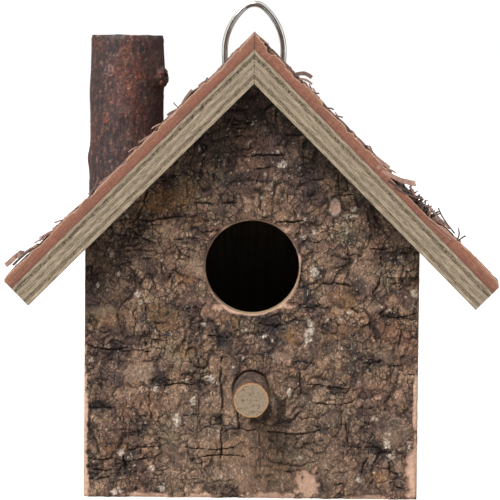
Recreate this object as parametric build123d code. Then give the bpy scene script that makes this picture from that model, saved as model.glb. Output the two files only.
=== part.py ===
from build123d import *
import math
import os

# A hanging nest box built of plywood boards faced with natural bark: a gabled body with a round
# entry hole and a branch perch, a mitred 90 degree roof, a log chimney, a wire hanging ring on a
# steel strap, and a round clean-out door that swings on one screw in the rear wall.
#
# Frame: +Z up, the house faces -Y, and the origin is the middle of the floor board's underside.
# Everything is in millimetres.

# ---- boards ----
PLY = 9.0                     # walls, floor and roof boards
WALL_BARK = 3.5               # bark slabs on the front and side walls
ROOF_BARK = 4.5               # bark slabs on the roof boards
PITCH = 45.0                  # roof slope above the horizontal, degrees

# ---- body ----
BODY_WIDTH = 124.0            # over the side bark
BODY_DEPTH = 105.0            # front bark face to rear wall face
PEAK_HEIGHT = 154.0           # underside of the roof at the ridge
FRONT_OVERHANG = 15.0         # roof in front of the front bark face
EAVE_OVERHANG = 27.8          # roof past the side bark, along the slope

# ---- entry hole and perch ----
ENTRY_DIAMETER = 35.0
ENTRY_HEIGHT = 86.0
PERCH_DIAMETER = 13.0
PERCH_HEIGHT = 41.0
PERCH_PROJECTION = 37.0       # in front of the bark
PERCH_WEB = 4.0               # ply left behind the perch's socket
PERCH_GAP = 0.8               # between the perch and its hole in the bark, all round

# ---- chimney ----
CHIMNEY_DIAMETER = 29.0
CHIMNEY_TAPER = 0.96          # top diameter over bottom diameter
CHIMNEY_INSET = 1.2           # axis inside the side wall's inner face
CHIMNEY_SETBACK = 60.0        # axis behind the roof's front edge
CHIMNEY_RISE = 48.0           # top above the bark, on the log's axis
KNOT_RADIUS = 3.4
KNOT_PROUD = 1.3
KNOT_DROP = 16.8              # below the log's top

# ---- clean-out door ----
CLEAN_OUT_DIAMETER = 35.0     # the same hole saw as the entry
CLEAN_OUT_SILL = 2.5          # bottom of the hole above the floor board
DOOR_DIAMETER = 52.0
DOOR_THICKNESS = 4.0
DOOR_CHAMFER = 0.5
DOOR_PIVOT_RISE = 22.0        # pivot screw above the door's centre

# ---- hanging ring and its strap ----
RING_WIRE = 2.5
RING_WIDTH = 26.4             # outside, at the widest
RING_HEIGHT = 42.4            # outside of the crown above the bar's centreline
RING_WIDEST_RISE = 22.0       # widest place above the bar
RING_CROWN_RADIUS = 6.0       # wire centreline at the top of the ring
RING_LOWER_RADIUS = 80.0      # wire centreline below the widest place
RING_FOOT_RADIUS = 4.0        # wire centreline where the sides turn into the bar
RING_END_GAP = 0.6            # butt joint of the wire, inside the strap's eye
STRAP_THICKNESS = 1.0
STRAP_WIDTH = 9.6
STRAP_CORNER = 3.8            # radius of the strap's lower corners
STRAP_LENGTH = 25.0           # below the ring's bar
BAR_DROP = 9.0                # ring's bar below the roof's underside at the ridge

# ---- fastener stock ----
BRAD = dict(shank=1.4, length=25.0, head=2.4, head_height=0.8)
ROOF_BRAD_ENDS = (26.0, 77.0) # first and last roof brads, down the slope from the ridge
FLOOR_BRAD_INSET = 12.0       # floor brads from the floor's corners
WALL_BRAD_ENDS = 18.0         # first and last wall brads from the ends of the side walls' edge
CHIMNEY_SCREW = dict(shank=3.5, length=30.0, head=7.0, head_height=2.6)
CHIMNEY_SCREW_SPACING = 12.0
PERCH_SCREW = dict(shank=3.0, length=20.0, head=5.6, head_height=2.0)
TIP_COVER = 1.0               # ply left past the tips of the rear wall's screws
STRAP_SCREW = dict(shank=2.5, length=STRAP_THICKNESS + PLY - TIP_COVER, head=5.0, head_height=1.6)
STRAP_SCREW_SPACING = 12.0
WASHER_DIAMETER = 8.0
WASHER_THICKNESS = 0.5
TIP_LENGTH = 1.5              # tapered end of every brad and screw
RECESS_SPAN = 1.1             # cross recess over a screw head's radius
RECESS_SLIT = 0.35            # recess width over the shank's radius
RECESS_DEPTH = 0.5            # recess depth over the head's height

# ---- clearances ----
GLUE_FIT = 0.05               # radial, screws, brads and glued pegs in their holes
EYE_FIT = 0.1                 # radial, ring wire in the strap's eye
PIVOT_FIT = 0.1               # radial, door and washers on the pivot screw
DOOR_FLOAT = 0.1              # between the door and each washer
DOOR_SCREW = dict(shank=3.5, head=7.0, head_height=2.2,
                  length=2 * (WASHER_THICKNESS + DOOR_FLOAT) + DOOR_THICKNESS + PLY - TIP_COVER)

# ---- worked out from the above ----
SLOPE = math.radians(PITCH)
SIN, COS, TAN = math.sin(SLOPE), math.cos(SLOPE), math.tan(SLOPE)
HALF_WIDTH = BODY_WIDTH / 2
RAFTER_LENGTH = HALF_WIDTH / COS + EAVE_OVERHANG    # roof underside, ridge to eave
ROOF_THICKNESS = PLY + ROOF_BARK
SIDE_OUTER = HALF_WIDTH - WALL_BARK             # side walls' outer ply face
SIDE_INNER = SIDE_OUTER - PLY
PERCH_SOCKET = PLY - PERCH_WEB
CAVITY_DEPTH = BODY_DEPTH - WALL_BARK - 2 * PLY
REAR_INNER = CAVITY_DEPTH / 2
REAR_FACE = REAR_INNER + PLY
FRONT_INNER = -CAVITY_DEPTH / 2
FRONT_PLY_FACE = FRONT_INNER - PLY
FRONT_FACE = FRONT_PLY_FACE - WALL_BARK
ROOF_FRONT = FRONT_FACE - FRONT_OVERHANG
ROOF_REAR = REAR_FACE
FRONT_WALL_MIDDLE = FRONT_INNER - PLY / 2
REAR_WALL_MIDDLE = REAR_INNER + PLY / 2


def slab(points, y_low, y_high):
    """A board: an XZ outline extruded from y_low to y_high."""
    face = make_face(Plane.XZ * Polyline(*points, close=True))
    return extrude(face.moved(Location((0, y_high, 0))), y_high - y_low, dir=(0, -1, 0))


def rod(start, direction, radius, length):
    """A plain cylinder from a point along a direction."""
    return Plane(origin=start, z_dir=direction) * Cylinder(
        radius, length, align=(Align.CENTER, Align.CENTER, Align.MIN)
    )


def fastener(start, direction, size, style, room=0.0):
    """A nail or screw driven along direction, with the top of its head, or the face that the head
    bears on, at start. With room it is the hole for itself, that much larger all round."""
    shank = size["shank"] / 2 + room
    head = size["head"] / 2 + room
    rise = size["head_height"]
    end = size["length"] + room
    if style == "brad":
        outline = [(0, 0), (head, 0), (head, rise), (shank, rise)]
    elif style == "countersunk":
        outline = [(0, 0), (head, 0), (shank, rise)]
    elif room:
        outline = [(0, 0), (shank, 0)]
    else:
        outline = [(0, -rise), (head - rise / 3, -rise), (head, -rise / 3), (head, 0), (shank, 0)]
    outline += [(shank, end - TIP_LENGTH), (0, end)]
    body = revolve(make_face(Plane.XZ * Polyline(*outline, close=True)), Axis.Z)
    if style != "brad" and not room:
        arm, slit, depth = head * RECESS_SPAN, shank * RECESS_SLIT, rise * RECESS_DEPTH
        recess = Box(arm, slit, 2 * depth) + Box(slit, arm, 2 * depth)
        body -= Location((0, 0, outline[0][1])) * recess
    return Plane(origin=start, z_dir=direction) * body


def gable(y_low, y_high):
    """A front or rear wall outline: a rectangle under the two slopes."""
    shoulder = PEAK_HEIGHT - HALF_WIDTH * TAN
    outline = [(-HALF_WIDTH, 0), (HALF_WIDTH, 0), (HALF_WIDTH, shoulder), (0, PEAK_HEIGHT),
               (-HALF_WIDTH, shoulder)]
    return slab(outline, y_low, y_high)


def side_board(inner, outer, sign):
    """A side wall or its bark, with its top edge bevelled to lie under the roof."""
    outline = [(sign * inner, 0), (sign * outer, 0), (sign * outer, PEAK_HEIGHT - outer * TAN),
               (sign * inner, PEAK_HEIGHT - inner * TAN)]
    return slab(outline, FRONT_INNER, REAR_INNER)


def slope_point(sign, along, above):
    """A point in X and Z, at a distance down the slope from the inner ridge and above the roof's
    underside."""
    return (sign * (along * COS + above * SIN), PEAK_HEIGHT - along * SIN + above * COS)


def roof_board(low, high, sign):
    """A roof layer between two heights above the underside, mitred at the ridge and cut square
    at the eave."""
    outline = [(0, PEAK_HEIGHT + low / COS), slope_point(sign, RAFTER_LENGTH, low),
               slope_point(sign, RAFTER_LENGTH, high), (0, PEAK_HEIGHT + high / COS)]
    return slab(outline, ROOF_FRONT, ROOF_REAR)


def across_y(radius, x, z, y_low, y_high):
    """A round hole or disc whose axis runs front to back."""
    return rod((x, y_low, z), (0, 1, 0), radius, y_high - y_low)


def spread(first, last, count):
    """Evenly spaced places from first to last."""
    return [first + (last - first) * i / (count - 1) for i in range(count)]


# ---- where the fasteners go: (start, direction, size, style) ----
SIDE_EDGE = (SIDE_INNER + SIDE_OUTER) / 2
SIDE_WALL_TOP = PEAK_HEIGHT - SIDE_OUTER * TAN
WALL_BRAD_HEIGHTS = spread(WALL_BRAD_ENDS, SIDE_WALL_TOP - WALL_BRAD_ENDS, 3)
FRONT_BRADS = [((sign * SIDE_EDGE, FRONT_PLY_FACE, z), (0, 1, 0), BRAD, "brad")
               for sign in (-1, 1) for z in WALL_BRAD_HEIGHTS]
REAR_BRADS = [((sign * SIDE_EDGE, REAR_FACE, z), (0, -1, 0), BRAD, "brad")
              for sign in (-1, 1) for z in WALL_BRAD_HEIGHTS]
FLOOR_BRADS = [((sign * (SIDE_INNER - FLOOR_BRAD_INSET), y, PLY / 2), (0, direction, 0), BRAD, "brad")
               for sign in (-1, 1) for y, direction in ((FRONT_PLY_FACE, 1), (REAR_FACE, -1))]


def roof_brads(sign):
    """Brads through a roof board, square to it, into the edges of both gables."""
    found = []
    for y in (FRONT_WALL_MIDDLE, REAR_WALL_MIDDLE):
        for along in spread(*ROOF_BRAD_ENDS, 3):
            x, z = slope_point(sign, along, PLY)
            found.append(((x, y, z), (-sign * SIN, 0, -COS), BRAD, "brad"))
    return found


def ridge_brads():
    """Brads through the right roof board along the middle of the left one."""
    middle = PEAK_HEIGHT + PLY / 2 / COS
    surface = PEAK_HEIGHT + PLY / COS
    x = (surface - middle) / (2 * TAN)
    return [((x, y, middle + x * TAN), (-COS, 0, -SIN), BRAD, "brad")
            for y in spread(ROOF_FRONT + FRONT_OVERHANG / 2, ROOF_REAR - FRONT_OVERHANG, 3)]


CHIMNEY_X = CHIMNEY_INSET - SIDE_INNER
CHIMNEY_Y = ROOF_FRONT + CHIMNEY_SETBACK
CHIMNEY_FOOT = PEAK_HEIGHT + ROOF_THICKNESS / COS + CHIMNEY_X * TAN
CHIMNEY_TOP = CHIMNEY_FOOT + CHIMNEY_RISE
CHIMNEY_SCREWS = [((CHIMNEY_X + ROOF_THICKNESS * SIN, y, CHIMNEY_FOOT - ROOF_THICKNESS * COS),
                   (-SIN, 0, COS), CHIMNEY_SCREW, "countersunk")
                  for y in (CHIMNEY_Y - CHIMNEY_SCREW_SPACING / 2, CHIMNEY_Y + CHIMNEY_SCREW_SPACING / 2)]
PERCH_SCREWS = [((0, FRONT_INNER, PERCH_HEIGHT), (0, -1, 0), PERCH_SCREW, "countersunk")]
RING_BAR_HEIGHT = PEAK_HEIGHT - BAR_DROP
STRAP_MIDDLE = RING_BAR_HEIGHT - STRAP_LENGTH / 2 - STRAP_SCREW["head"] / 2
STRAP_SCREWS = [((0, REAR_FACE + STRAP_THICKNESS, z), (0, -1, 0), STRAP_SCREW, "pan")
                for z in (STRAP_MIDDLE - STRAP_SCREW_SPACING / 2, STRAP_MIDDLE + STRAP_SCREW_SPACING / 2)]
CLEAN_OUT_HEIGHT = PLY + CLEAN_OUT_SILL + CLEAN_OUT_DIAMETER / 2
DOOR_PIVOT_Z = CLEAN_OUT_HEIGHT + DOOR_PIVOT_RISE
DOOR_INNER = REAR_FACE + WASHER_THICKNESS + DOOR_FLOAT
DOOR_OUTER = DOOR_INNER + DOOR_THICKNESS
WASHER_OUTER_Y = DOOR_OUTER + DOOR_FLOAT
DOOR_SCREWS = [((0, WASHER_OUTER_Y + WASHER_THICKNESS, DOOR_PIVOT_Z), (0, -1, 0), DOOR_SCREW, "pan")]


def meets(one, other):
    """Whether two shapes' boxes share any space."""
    a, b = one.bounding_box(), other.bounding_box()
    return all(low < high for low, high in zip([*a.min, *b.min], [*b.max, *a.max]))


def drilled(board, *sets):
    """The board with the holes of every fastener that reaches it."""
    for fasteners in sets:
        for start, direction, size, style in fasteners:
            hole = fastener(start, direction, size, style, room=GLUE_FIT)
            if meets(hole, board):
                board -= hole
    return board


def group(fasteners):
    """A set of loose fasteners as one compound."""
    return Compound(children=[Compound(fastener(*item).solids()) for item in fasteners])


# ---- body ----
def front_wall():
    board = gable(FRONT_PLY_FACE, FRONT_INNER)
    board -= across_y(ENTRY_DIAMETER / 2, 0, ENTRY_HEIGHT, FRONT_PLY_FACE - 1, FRONT_INNER + 1)
    board -= across_y(PERCH_DIAMETER / 2 + GLUE_FIT, 0, PERCH_HEIGHT, FRONT_PLY_FACE - 1,
                      FRONT_PLY_FACE + PERCH_SOCKET)
    return drilled(board, FRONT_BRADS, FLOOR_BRADS, PERCH_SCREWS, roof_brads(-1), roof_brads(1))


def front_bark():
    board = gable(FRONT_FACE, FRONT_PLY_FACE)
    board -= across_y(ENTRY_DIAMETER / 2, 0, ENTRY_HEIGHT, FRONT_FACE - 1, FRONT_PLY_FACE + 1)
    return board - across_y(PERCH_DIAMETER / 2 + PERCH_GAP, 0, PERCH_HEIGHT, FRONT_FACE - 1,
                            FRONT_PLY_FACE + 1)


def rear_wall():
    board = gable(REAR_INNER, REAR_FACE)
    board -= across_y(CLEAN_OUT_DIAMETER / 2, 0, CLEAN_OUT_HEIGHT, REAR_INNER - 1, REAR_FACE + 1)
    return drilled(board, REAR_BRADS, FLOOR_BRADS, STRAP_SCREWS, DOOR_SCREWS, roof_brads(-1),
                   roof_brads(1))


def side_wall(sign):
    return drilled(side_board(SIDE_INNER, SIDE_OUTER, sign), FRONT_BRADS, REAR_BRADS)


def side_bark(sign):
    return side_board(SIDE_OUTER, HALF_WIDTH, sign)


def floor_board():
    outline = [(-SIDE_INNER, 0), (SIDE_INNER, 0), (SIDE_INNER, PLY), (-SIDE_INNER, PLY)]
    return drilled(slab(outline, FRONT_INNER, REAR_INNER), FLOOR_BRADS)


# ---- roof and chimney ----
def roof_ply(sign):
    sets = [roof_brads(sign), ridge_brads()]
    if sign < 0:
        sets.append(CHIMNEY_SCREWS)
    return drilled(roof_board(0, PLY, sign), *sets)


def roof_bark(sign):
    board = roof_board(PLY, ROOF_THICKNESS, sign)
    return drilled(board, CHIMNEY_SCREWS) if sign < 0 else board


def chimney():
    """A short log, cut square at the top and to the roof's slope at the foot, with a knot."""
    bottom = CHIMNEY_DIAMETER / 2
    reach = CHIMNEY_FOOT - (bottom + KNOT_PROUD) * TAN - PLY
    log = Location((CHIMNEY_X, CHIMNEY_Y, reach)) * Cone(
        bottom, bottom * CHIMNEY_TAPER, CHIMNEY_TOP - reach,
        align=(Align.CENTER, Align.CENTER, Align.MIN)
    )
    log += rod((CHIMNEY_X, CHIMNEY_Y, CHIMNEY_TOP - KNOT_DROP), (1, -1, 0), KNOT_RADIUS,
               bottom + KNOT_PROUD)
    return drilled(log - roof_board(-PEAK_HEIGHT, ROOF_THICKNESS, -1), CHIMNEY_SCREWS)


# ---- perch ----
def perch():
    """A straight piece of branch, glued in its socket and held by a screw from inside."""
    length = PERCH_SOCKET + WALL_BARK + PERCH_PROJECTION
    tip = FRONT_PLY_FACE + PERCH_SOCKET - length
    return drilled(across_y(PERCH_DIAMETER / 2, 0, PERCH_HEIGHT, tip, tip + length), PERCH_SCREWS)


# ---- hanging ring ----
RING_Y = REAR_FACE + STRAP_THICKNESS + EYE_FIT + RING_WIRE / 2


def ring_path():
    """The wire's centreline, from one end of the bar round to the other: a short bar, two foot
    bends, two long lower sides, two shoulders and a tight crown, each tangent to the next."""
    widest = (RING_WIDTH - RING_WIRE) / 2
    widest_height = RING_BAR_HEIGHT + RING_WIDEST_RISE
    crown_centre = RING_BAR_HEIGHT + RING_HEIGHT - RING_WIRE / 2 - RING_CROWN_RADIUS
    rise = crown_centre - widest_height
    shoulder = (widest ** 2 + rise ** 2 - RING_CROWN_RADIUS ** 2) / (2 * (widest - RING_CROWN_RADIUS))
    lower = RING_LOWER_RADIUS
    drop = RING_WIDEST_RISE - RING_FOOT_RADIUS
    foot_x = math.sqrt((lower - RING_FOOT_RADIUS) ** 2 - drop ** 2) - (lower - widest)
    foot_z = RING_BAR_HEIGHT + RING_FOOT_RADIUS

    def on(centre_x, centre_z, radius, angle):
        return (centre_x + radius * math.cos(angle), centre_z + radius * math.sin(angle))

    def half(sign):
        foot_angle = math.atan2(-drop, foot_x + lower - widest)
        crown_angle = math.atan2(rise, shoulder - widest)
        arcs = [
            (foot_x, foot_z, RING_FOOT_RADIUS, -math.pi / 2, foot_angle),
            (widest - lower, widest_height, lower, foot_angle, 0),
            (widest - shoulder, widest_height, shoulder, 0, crown_angle),
            (0, crown_centre, RING_CROWN_RADIUS, crown_angle, math.pi / 2),
        ]
        edges = [Line((sign * RING_END_GAP / 2, RING_BAR_HEIGHT), (sign * foot_x, RING_BAR_HEIGHT))]
        for x, z, radius, begin, end in arcs:
            points = [on(x, z, radius, begin), on(x, z, radius, (begin + end) / 2), on(x, z, radius, end)]
            edges.append(ThreePointArc(*[(sign * px, pz) for px, pz in points]))
        return edges

    edges = half(1) + half(-1)[::-1]
    return Wire([Plane(origin=(0, RING_Y, 0), x_dir=(1, 0, 0), z_dir=(0, -1, 0)) * edge
                 for edge in edges])


def hanger_ring():
    start = Plane(origin=(RING_END_GAP / 2, RING_Y, RING_BAR_HEIGHT), z_dir=(1, 0, 0))
    return sweep(start * Circle(RING_WIRE / 2), path=ring_path(), transition=Transition.RIGHT)


def hanger_strap():
    """A steel strap rolled into an eye round the ring's bar, flat on the rear wall below it."""
    eye = RING_WIRE / 2 + EYE_FIT
    outer = eye + STRAP_THICKNESS
    half = STRAP_WIDTH / 2
    curl = rod((-half, RING_Y, RING_BAR_HEIGHT), (1, 0, 0), outer, STRAP_WIDTH)
    foot = RING_BAR_HEIGHT - STRAP_LENGTH
    plate = Location((0, REAR_FACE + STRAP_THICKNESS / 2, foot + STRAP_LENGTH / 2)) * Box(
        STRAP_WIDTH, STRAP_THICKNESS, STRAP_LENGTH
    )
    corners = plate.edges().filter_by(Axis.Y).sort_by(Axis.Z)[:2]
    plate = fillet(corners, STRAP_CORNER)
    strap = curl + plate - rod((-half - 1, RING_Y, RING_BAR_HEIGHT), (1, 0, 0), eye, STRAP_WIDTH + 2)
    mouth = Location((0, RING_Y + outer / 2, RING_BAR_HEIGHT - outer / 2)) * Box(
        STRAP_WIDTH + 2, STRAP_THICKNESS, outer
    )
    return drilled(strap - mouth, STRAP_SCREWS)


# ---- clean-out door ----
def clean_out_door():
    disc = across_y(DOOR_DIAMETER / 2, 0, CLEAN_OUT_HEIGHT, DOOR_INNER, DOOR_OUTER)
    rim = disc.edges().filter_by(GeomType.CIRCLE)
    disc = chamfer(rim, DOOR_CHAMFER)
    return disc - across_y(DOOR_SCREW["shank"] / 2 + PIVOT_FIT, 0, DOOR_PIVOT_Z, DOOR_INNER - 1,
                           DOOR_OUTER + 1)


def door_washers():
    """One washer under the screw's head and one between the door and the wall."""
    washers = []
    for y in (REAR_FACE, WASHER_OUTER_Y):
        ring = across_y(WASHER_DIAMETER / 2, 0, DOOR_PIVOT_Z, y, y + WASHER_THICKNESS)
        washers.append(ring - across_y(DOOR_SCREW["shank"] / 2 + PIVOT_FIT, 0, DOOR_PIVOT_Z, y - 1,
                                       y + WASHER_THICKNESS + 1))
    return Compound(children=[Compound(washer.solids()) for washer in washers])


NODES = {
    "front_wall": front_wall(),
    "rear_wall": rear_wall(),
    "left_wall": side_wall(-1),
    "right_wall": side_wall(1),
    "floor_board": floor_board(),
    "front_bark": front_bark(),
    "left_bark": side_bark(-1),
    "right_bark": side_bark(1),
    "left_roof_board": roof_ply(-1),
    "right_roof_board": roof_ply(1),
    "left_roof_bark": roof_bark(-1),
    "right_roof_bark": roof_bark(1),
    "chimney_log": chimney(),
    "chimney_screws": group(CHIMNEY_SCREWS),
    "perch": perch(),
    "perch_screw": group(PERCH_SCREWS),
    "hanger_strap": hanger_strap(),
    "hanger_ring": hanger_ring(),
    "hanger_screws": group(STRAP_SCREWS),
    "clean_out_door": clean_out_door(),
    "door_screw": group(DOOR_SCREWS),
    "door_washers": door_washers(),
    "front_brads": group(FRONT_BRADS),
    "rear_brads": group(REAR_BRADS),
    "floor_brads": group(FLOOR_BRADS),
    "left_roof_brads": group(roof_brads(-1)),
    "right_roof_brads": group(roof_brads(1)),
    "ridge_brads": group(ridge_brads()),
}

os.makedirs("parts", exist_ok=True)
for name, shape in NODES.items():
    export_step(shape, f"parts/{name}.step")
print(len(NODES), "nodes written")
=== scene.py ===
import math
import random

import bmesh
import bpy
from mathutils import Matrix, Vector, noise


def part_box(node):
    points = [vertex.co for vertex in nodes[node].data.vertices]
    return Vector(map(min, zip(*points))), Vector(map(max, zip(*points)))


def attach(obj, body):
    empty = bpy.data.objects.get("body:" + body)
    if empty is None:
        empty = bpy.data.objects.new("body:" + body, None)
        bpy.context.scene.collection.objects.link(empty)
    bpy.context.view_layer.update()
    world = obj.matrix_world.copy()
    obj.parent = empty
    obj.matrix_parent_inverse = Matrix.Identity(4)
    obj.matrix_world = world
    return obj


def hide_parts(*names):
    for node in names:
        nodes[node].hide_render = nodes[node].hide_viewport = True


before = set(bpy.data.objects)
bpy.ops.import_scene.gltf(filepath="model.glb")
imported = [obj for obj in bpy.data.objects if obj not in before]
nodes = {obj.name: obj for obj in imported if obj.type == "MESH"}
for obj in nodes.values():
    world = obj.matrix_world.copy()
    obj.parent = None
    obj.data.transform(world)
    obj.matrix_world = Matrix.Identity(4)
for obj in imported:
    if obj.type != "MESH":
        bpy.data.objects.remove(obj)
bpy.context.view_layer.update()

mm = 0.001
print("frame loaded:", len(nodes), "nodes")


# places and sizes in millimetres, read from the frame
def cornerMm(node):
    low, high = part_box(node)
    return low / mm, high / mm


wallLow, wallHigh = cornerMm("front_bark")
roofLow, roofHigh = cornerMm("right_roof_board")
barkLow, barkHigh = cornerMm("right_roof_bark")
sideLow, sideHigh = cornerMm("right_bark")
logLow, logHigh = cornerMm("chimney_log")
perchLow, perchHigh = cornerMm("perch")
slope = math.radians(45)
cosSlope = math.cos(slope)
peak = wallHigh.z                                  # underside of the roof at the ridge
plyThick = (roofHigh.z - peak) * cosSlope
barkThick = (barkHigh.z - roofHigh.z) * cosSlope
rafter = (roofHigh.x - plyThick * cosSlope) / cosSlope
plies = 7                                          # veneers in every plywood board
entry = dict(x=0.0, z=86.0, radius=17.5)           # the entry hole, as drilled
perchAt = dict(x=0.0, z=(perchLow.z + perchHigh.z) / 2, radius=(perchHigh.x - perchLow.x) / 2)


# the camera, at the height of the gable
cameraSetup = dict(stand=(-0.92, -1060.0, 156.5), aim=(-0.92, -54.25, 92.6), lens=196.2, roll=0.56)
camera = bpy.data.objects.new("camera", bpy.data.cameras.new("camera"))
bpy.context.scene.collection.objects.link(camera)
camera.location = Vector(cameraSetup["stand"]) * mm
lookAlong = Vector(cameraSetup["aim"]) - Vector(cameraSetup["stand"])
straight = lookAlong.to_track_quat("-Z", "Y").to_matrix()
camera.rotation_euler = (straight @ Matrix.Rotation(math.radians(cameraSetup["roll"]), 3, "Z")).to_euler()
camera.data.lens = cameraSetup["lens"]
camera.data.clip_start = 0.05
bpy.context.scene.camera = camera


# small functions for materials
def linear(hexText, alpha=1.0):
    # sRGB hex to the linear colour that a shader reads
    parts = [int(hexText[i:i + 2], 16) / 255 for i in (1, 3, 5)]
    return tuple(c / 12.92 if c <= 0.04045 else ((c + 0.055) / 1.055) ** 2.4 for c in parts) + (alpha,)


def addNode(tree, kind, links=None, stops=None, **settings):
    # one node with its settings, its inputs (values or sockets) and, on a ramp, its colour stops
    node = tree.nodes.new("ShaderNode" + kind)
    for name, value in settings.items():
        setattr(node, name, value)
    for place, value in (links or {}).items():
        if isinstance(value, bpy.types.NodeSocket):
            tree.links.new(value, node.inputs[place])
        else:
            node.inputs[place].default_value = value
    if stops:
        ramp = node.color_ramp.elements
        while len(ramp) < len(stops):
            ramp.new(0.5)
        for element, (position, colour) in zip(ramp, stops):
            element.position = position
            element.color = linear(colour) if isinstance(colour, str) else (colour, colour, colour, 1)
    return node


def newMaterial(name):
    material = bpy.data.materials.new(name)
    material.use_nodes = True
    tree = material.node_tree
    shader = tree.nodes["Principled BSDF"]
    return material, tree, shader


def objectPoint(tree):
    return addNode(tree, "TexCoord").outputs["Object"]


def makeWallBark():
    # furrowed bark: dull brown plates with a fibrous skin, sooty furrows, peach inner bark in the chips; the soot
    # and crack masks also carry painted shade
    material, tree, shader = newMaterial("furrowedBark")
    point = objectPoint(tree)
    broad = addNode(tree, "TexNoise", {"Vector": point, "Scale": 1 / (7 * mm), "Detail": 5.0,
                                       "Roughness": 0.65})
    dull = addNode(tree, "ValToRGB", {0: broad.outputs[0]},
                   stops=[(0.32, "#352926"), (0.48, "#523F39"), (0.64, "#6E5548")])
    warm = addNode(tree, "ValToRGB", {0: broad.outputs[0]},
                   stops=[(0.30, "#5E4839"), (0.47, "#806451"), (0.60, "#94775F"), (0.74, "#AD917B")])
    tone = addNode(tree, "Attribute", attribute_name="tone")
    base = addNode(tree, "Mix", {0: tone.outputs["Fac"], 6: dull.outputs[0], 7: warm.outputs[0]},
                   data_type="RGBA")
    tint = addNode(tree, "TexNoise", {"Vector": point, "Scale": 1 / (15 * mm), "Detail": 4.0})
    rusty = addNode(tree, "ValToRGB", {0: tint.outputs[0]}, stops=[(0.52, 0.0), (0.70, 0.42)])
    redder = addNode(tree, "Mix", {0: rusty.outputs[0], 6: base.outputs[2], 7: linear("#7A5340")},
                     data_type="RGBA")
    mossy = addNode(tree, "TexNoise", {"Vector": point, "Scale": 1 / (10 * mm), "Detail": 4.0,
                                       "Distortion": 0.6})
    bloom = addNode(tree, "ValToRGB", {0: mossy.outputs[0]}, stops=[(0.56, 0.0), (0.72, 0.40)])
    greener = addNode(tree, "Mix", {0: bloom.outputs[0], 6: redder.outputs[2], 7: linear("#837E62")},
                      data_type="RGBA")
    # short wandering fibres, 0.7 mm wide and a little longer, light on dark
    drawn = addNode(tree, "Mapping", {0: point, 3: (1 / (0.70 * mm), 1 / (0.70 * mm), 1 / (1.15 * mm))})
    fibres = addNode(tree, "TexNoise", {"Vector": drawn.outputs[0], "Scale": 1.0, "Detail": 4.0,
                                        "Roughness": 0.68, "Distortion": 1.2})
    fibreTone = addNode(tree, "ValToRGB", {0: fibres.outputs[0]},
                        stops=[(0.34, 0.36), (0.46, 0.82), (0.56, 1.08), (0.68, 1.95)])
    grainy = addNode(tree, "Mix", {0: 1.0, 6: greener.outputs[2], 7: fibreTone.outputs[0]},
                     data_type="RGBA", blend_type="MULTIPLY")
    # a net of hair cracks, 0.2 mm wide, that comes and goes
    pushed = addNode(tree, "VectorMath", {0: tint.outputs["Color"], 1: (3.5 * mm,) * 3, 2: point},
                     operation="MULTIPLY_ADD")
    bumpy = addNode(tree, "TexNoise", {"Vector": point, "Scale": 1 / (1.8 * mm), "Detail": 2.0})
    pushedMore = addNode(tree, "VectorMath", {0: bumpy.outputs["Color"], 1: (1.5 * mm,) * 3,
                                              2: pushed.outputs[0]}, operation="MULTIPLY_ADD")
    net = addNode(tree, "TexVoronoi", {"Vector": pushedMore.outputs[0], "Scale": 1 / (3.4 * mm)},
                  feature="DISTANCE_TO_EDGE")
    hair = addNode(tree, "ValToRGB", {0: net.outputs["Distance"]}, stops=[(0.025, 0.22), (0.075, 1.0)])
    somewhere = addNode(tree, "ValToRGB", {0: mossy.outputs[0]}, stops=[(0.38, 0.1), (0.52, 1.0)])
    split = addNode(tree, "Mix", {0: somewhere.outputs[0], 6: grainy.outputs[2], 7: hair.outputs[0]},
                    data_type="RGBA", blend_type="MULTIPLY")
    colour = split.outputs[2]
    for name, hexText, strength in (("ochre", "#85603A", 0.62), ("plate", "#86705E", 0.8),
                                    ("soot", "#2A2424", 0.86), ("crack", "#120D0B", 0.97),
                                    ("inner", "#CBA48D", 0.94), ("pale", "#B7A999", 0.9)):
        mask = addNode(tree, "Attribute", attribute_name=name)
        scaled = addNode(tree, "Math", {0: mask.outputs["Fac"], 1: strength}, operation="MULTIPLY")
        colour = addNode(tree, "Mix", {0: scaled.outputs[0], 6: colour, 7: linear(hexText)},
                         data_type="RGBA").outputs[2]
    # the fibres still catch the light inside the soot
    flecks = addNode(tree, "TexNoise", {"Vector": drawn.outputs[0], "Scale": 1.35, "Detail": 2.0,
                                        "Distortion": 1.0})
    fleckTone = addNode(tree, "ValToRGB", {0: flecks.outputs[0]}, stops=[(0.30, 0.60), (0.5, 1.0),
                                                                         (0.69, 1.75)])
    smoother = addNode(tree, "Math", {0: addNode(tree, "Attribute", attribute_name="inner").outputs["Fac"],
                                      1: -0.7, 2: 1.0}, operation="MULTIPLY_ADD")
    lit = addNode(tree, "Mix", {0: smoother.outputs[0], 6: colour, 7: fleckTone.outputs[0]},
                  data_type="RGBA", blend_type="MULTIPLY")
    # and tiny pale crumbs lie about
    crumbs = addNode(tree, "TexNoise", {"Vector": point, "Scale": 1 / (0.95 * mm), "Detail": 1.0,
                                        "Distortion": 0.5})
    crumbMask = addNode(tree, "ValToRGB", {0: crumbs.outputs[0]}, stops=[(0.70, 0.0), (0.75, 0.75)])
    final = addNode(tree, "Mix", {0: crumbMask.outputs[0], 6: lit.outputs[2], 7: linear("#BDAFA0")},
                    data_type="RGBA")
    tree.links.new(final.outputs[2], shader.inputs["Base Color"])
    shader.inputs["Roughness"].default_value = 0.8
    shader.inputs["Specular IOR Level"].default_value = 0.3
    bump = addNode(tree, "Bump", {"Height": fibres.outputs[0], "Strength": 0.9, "Distance": 0.55 * mm})
    tree.links.new(bump.outputs[0], shader.inputs["Normal"])
    return material


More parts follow.
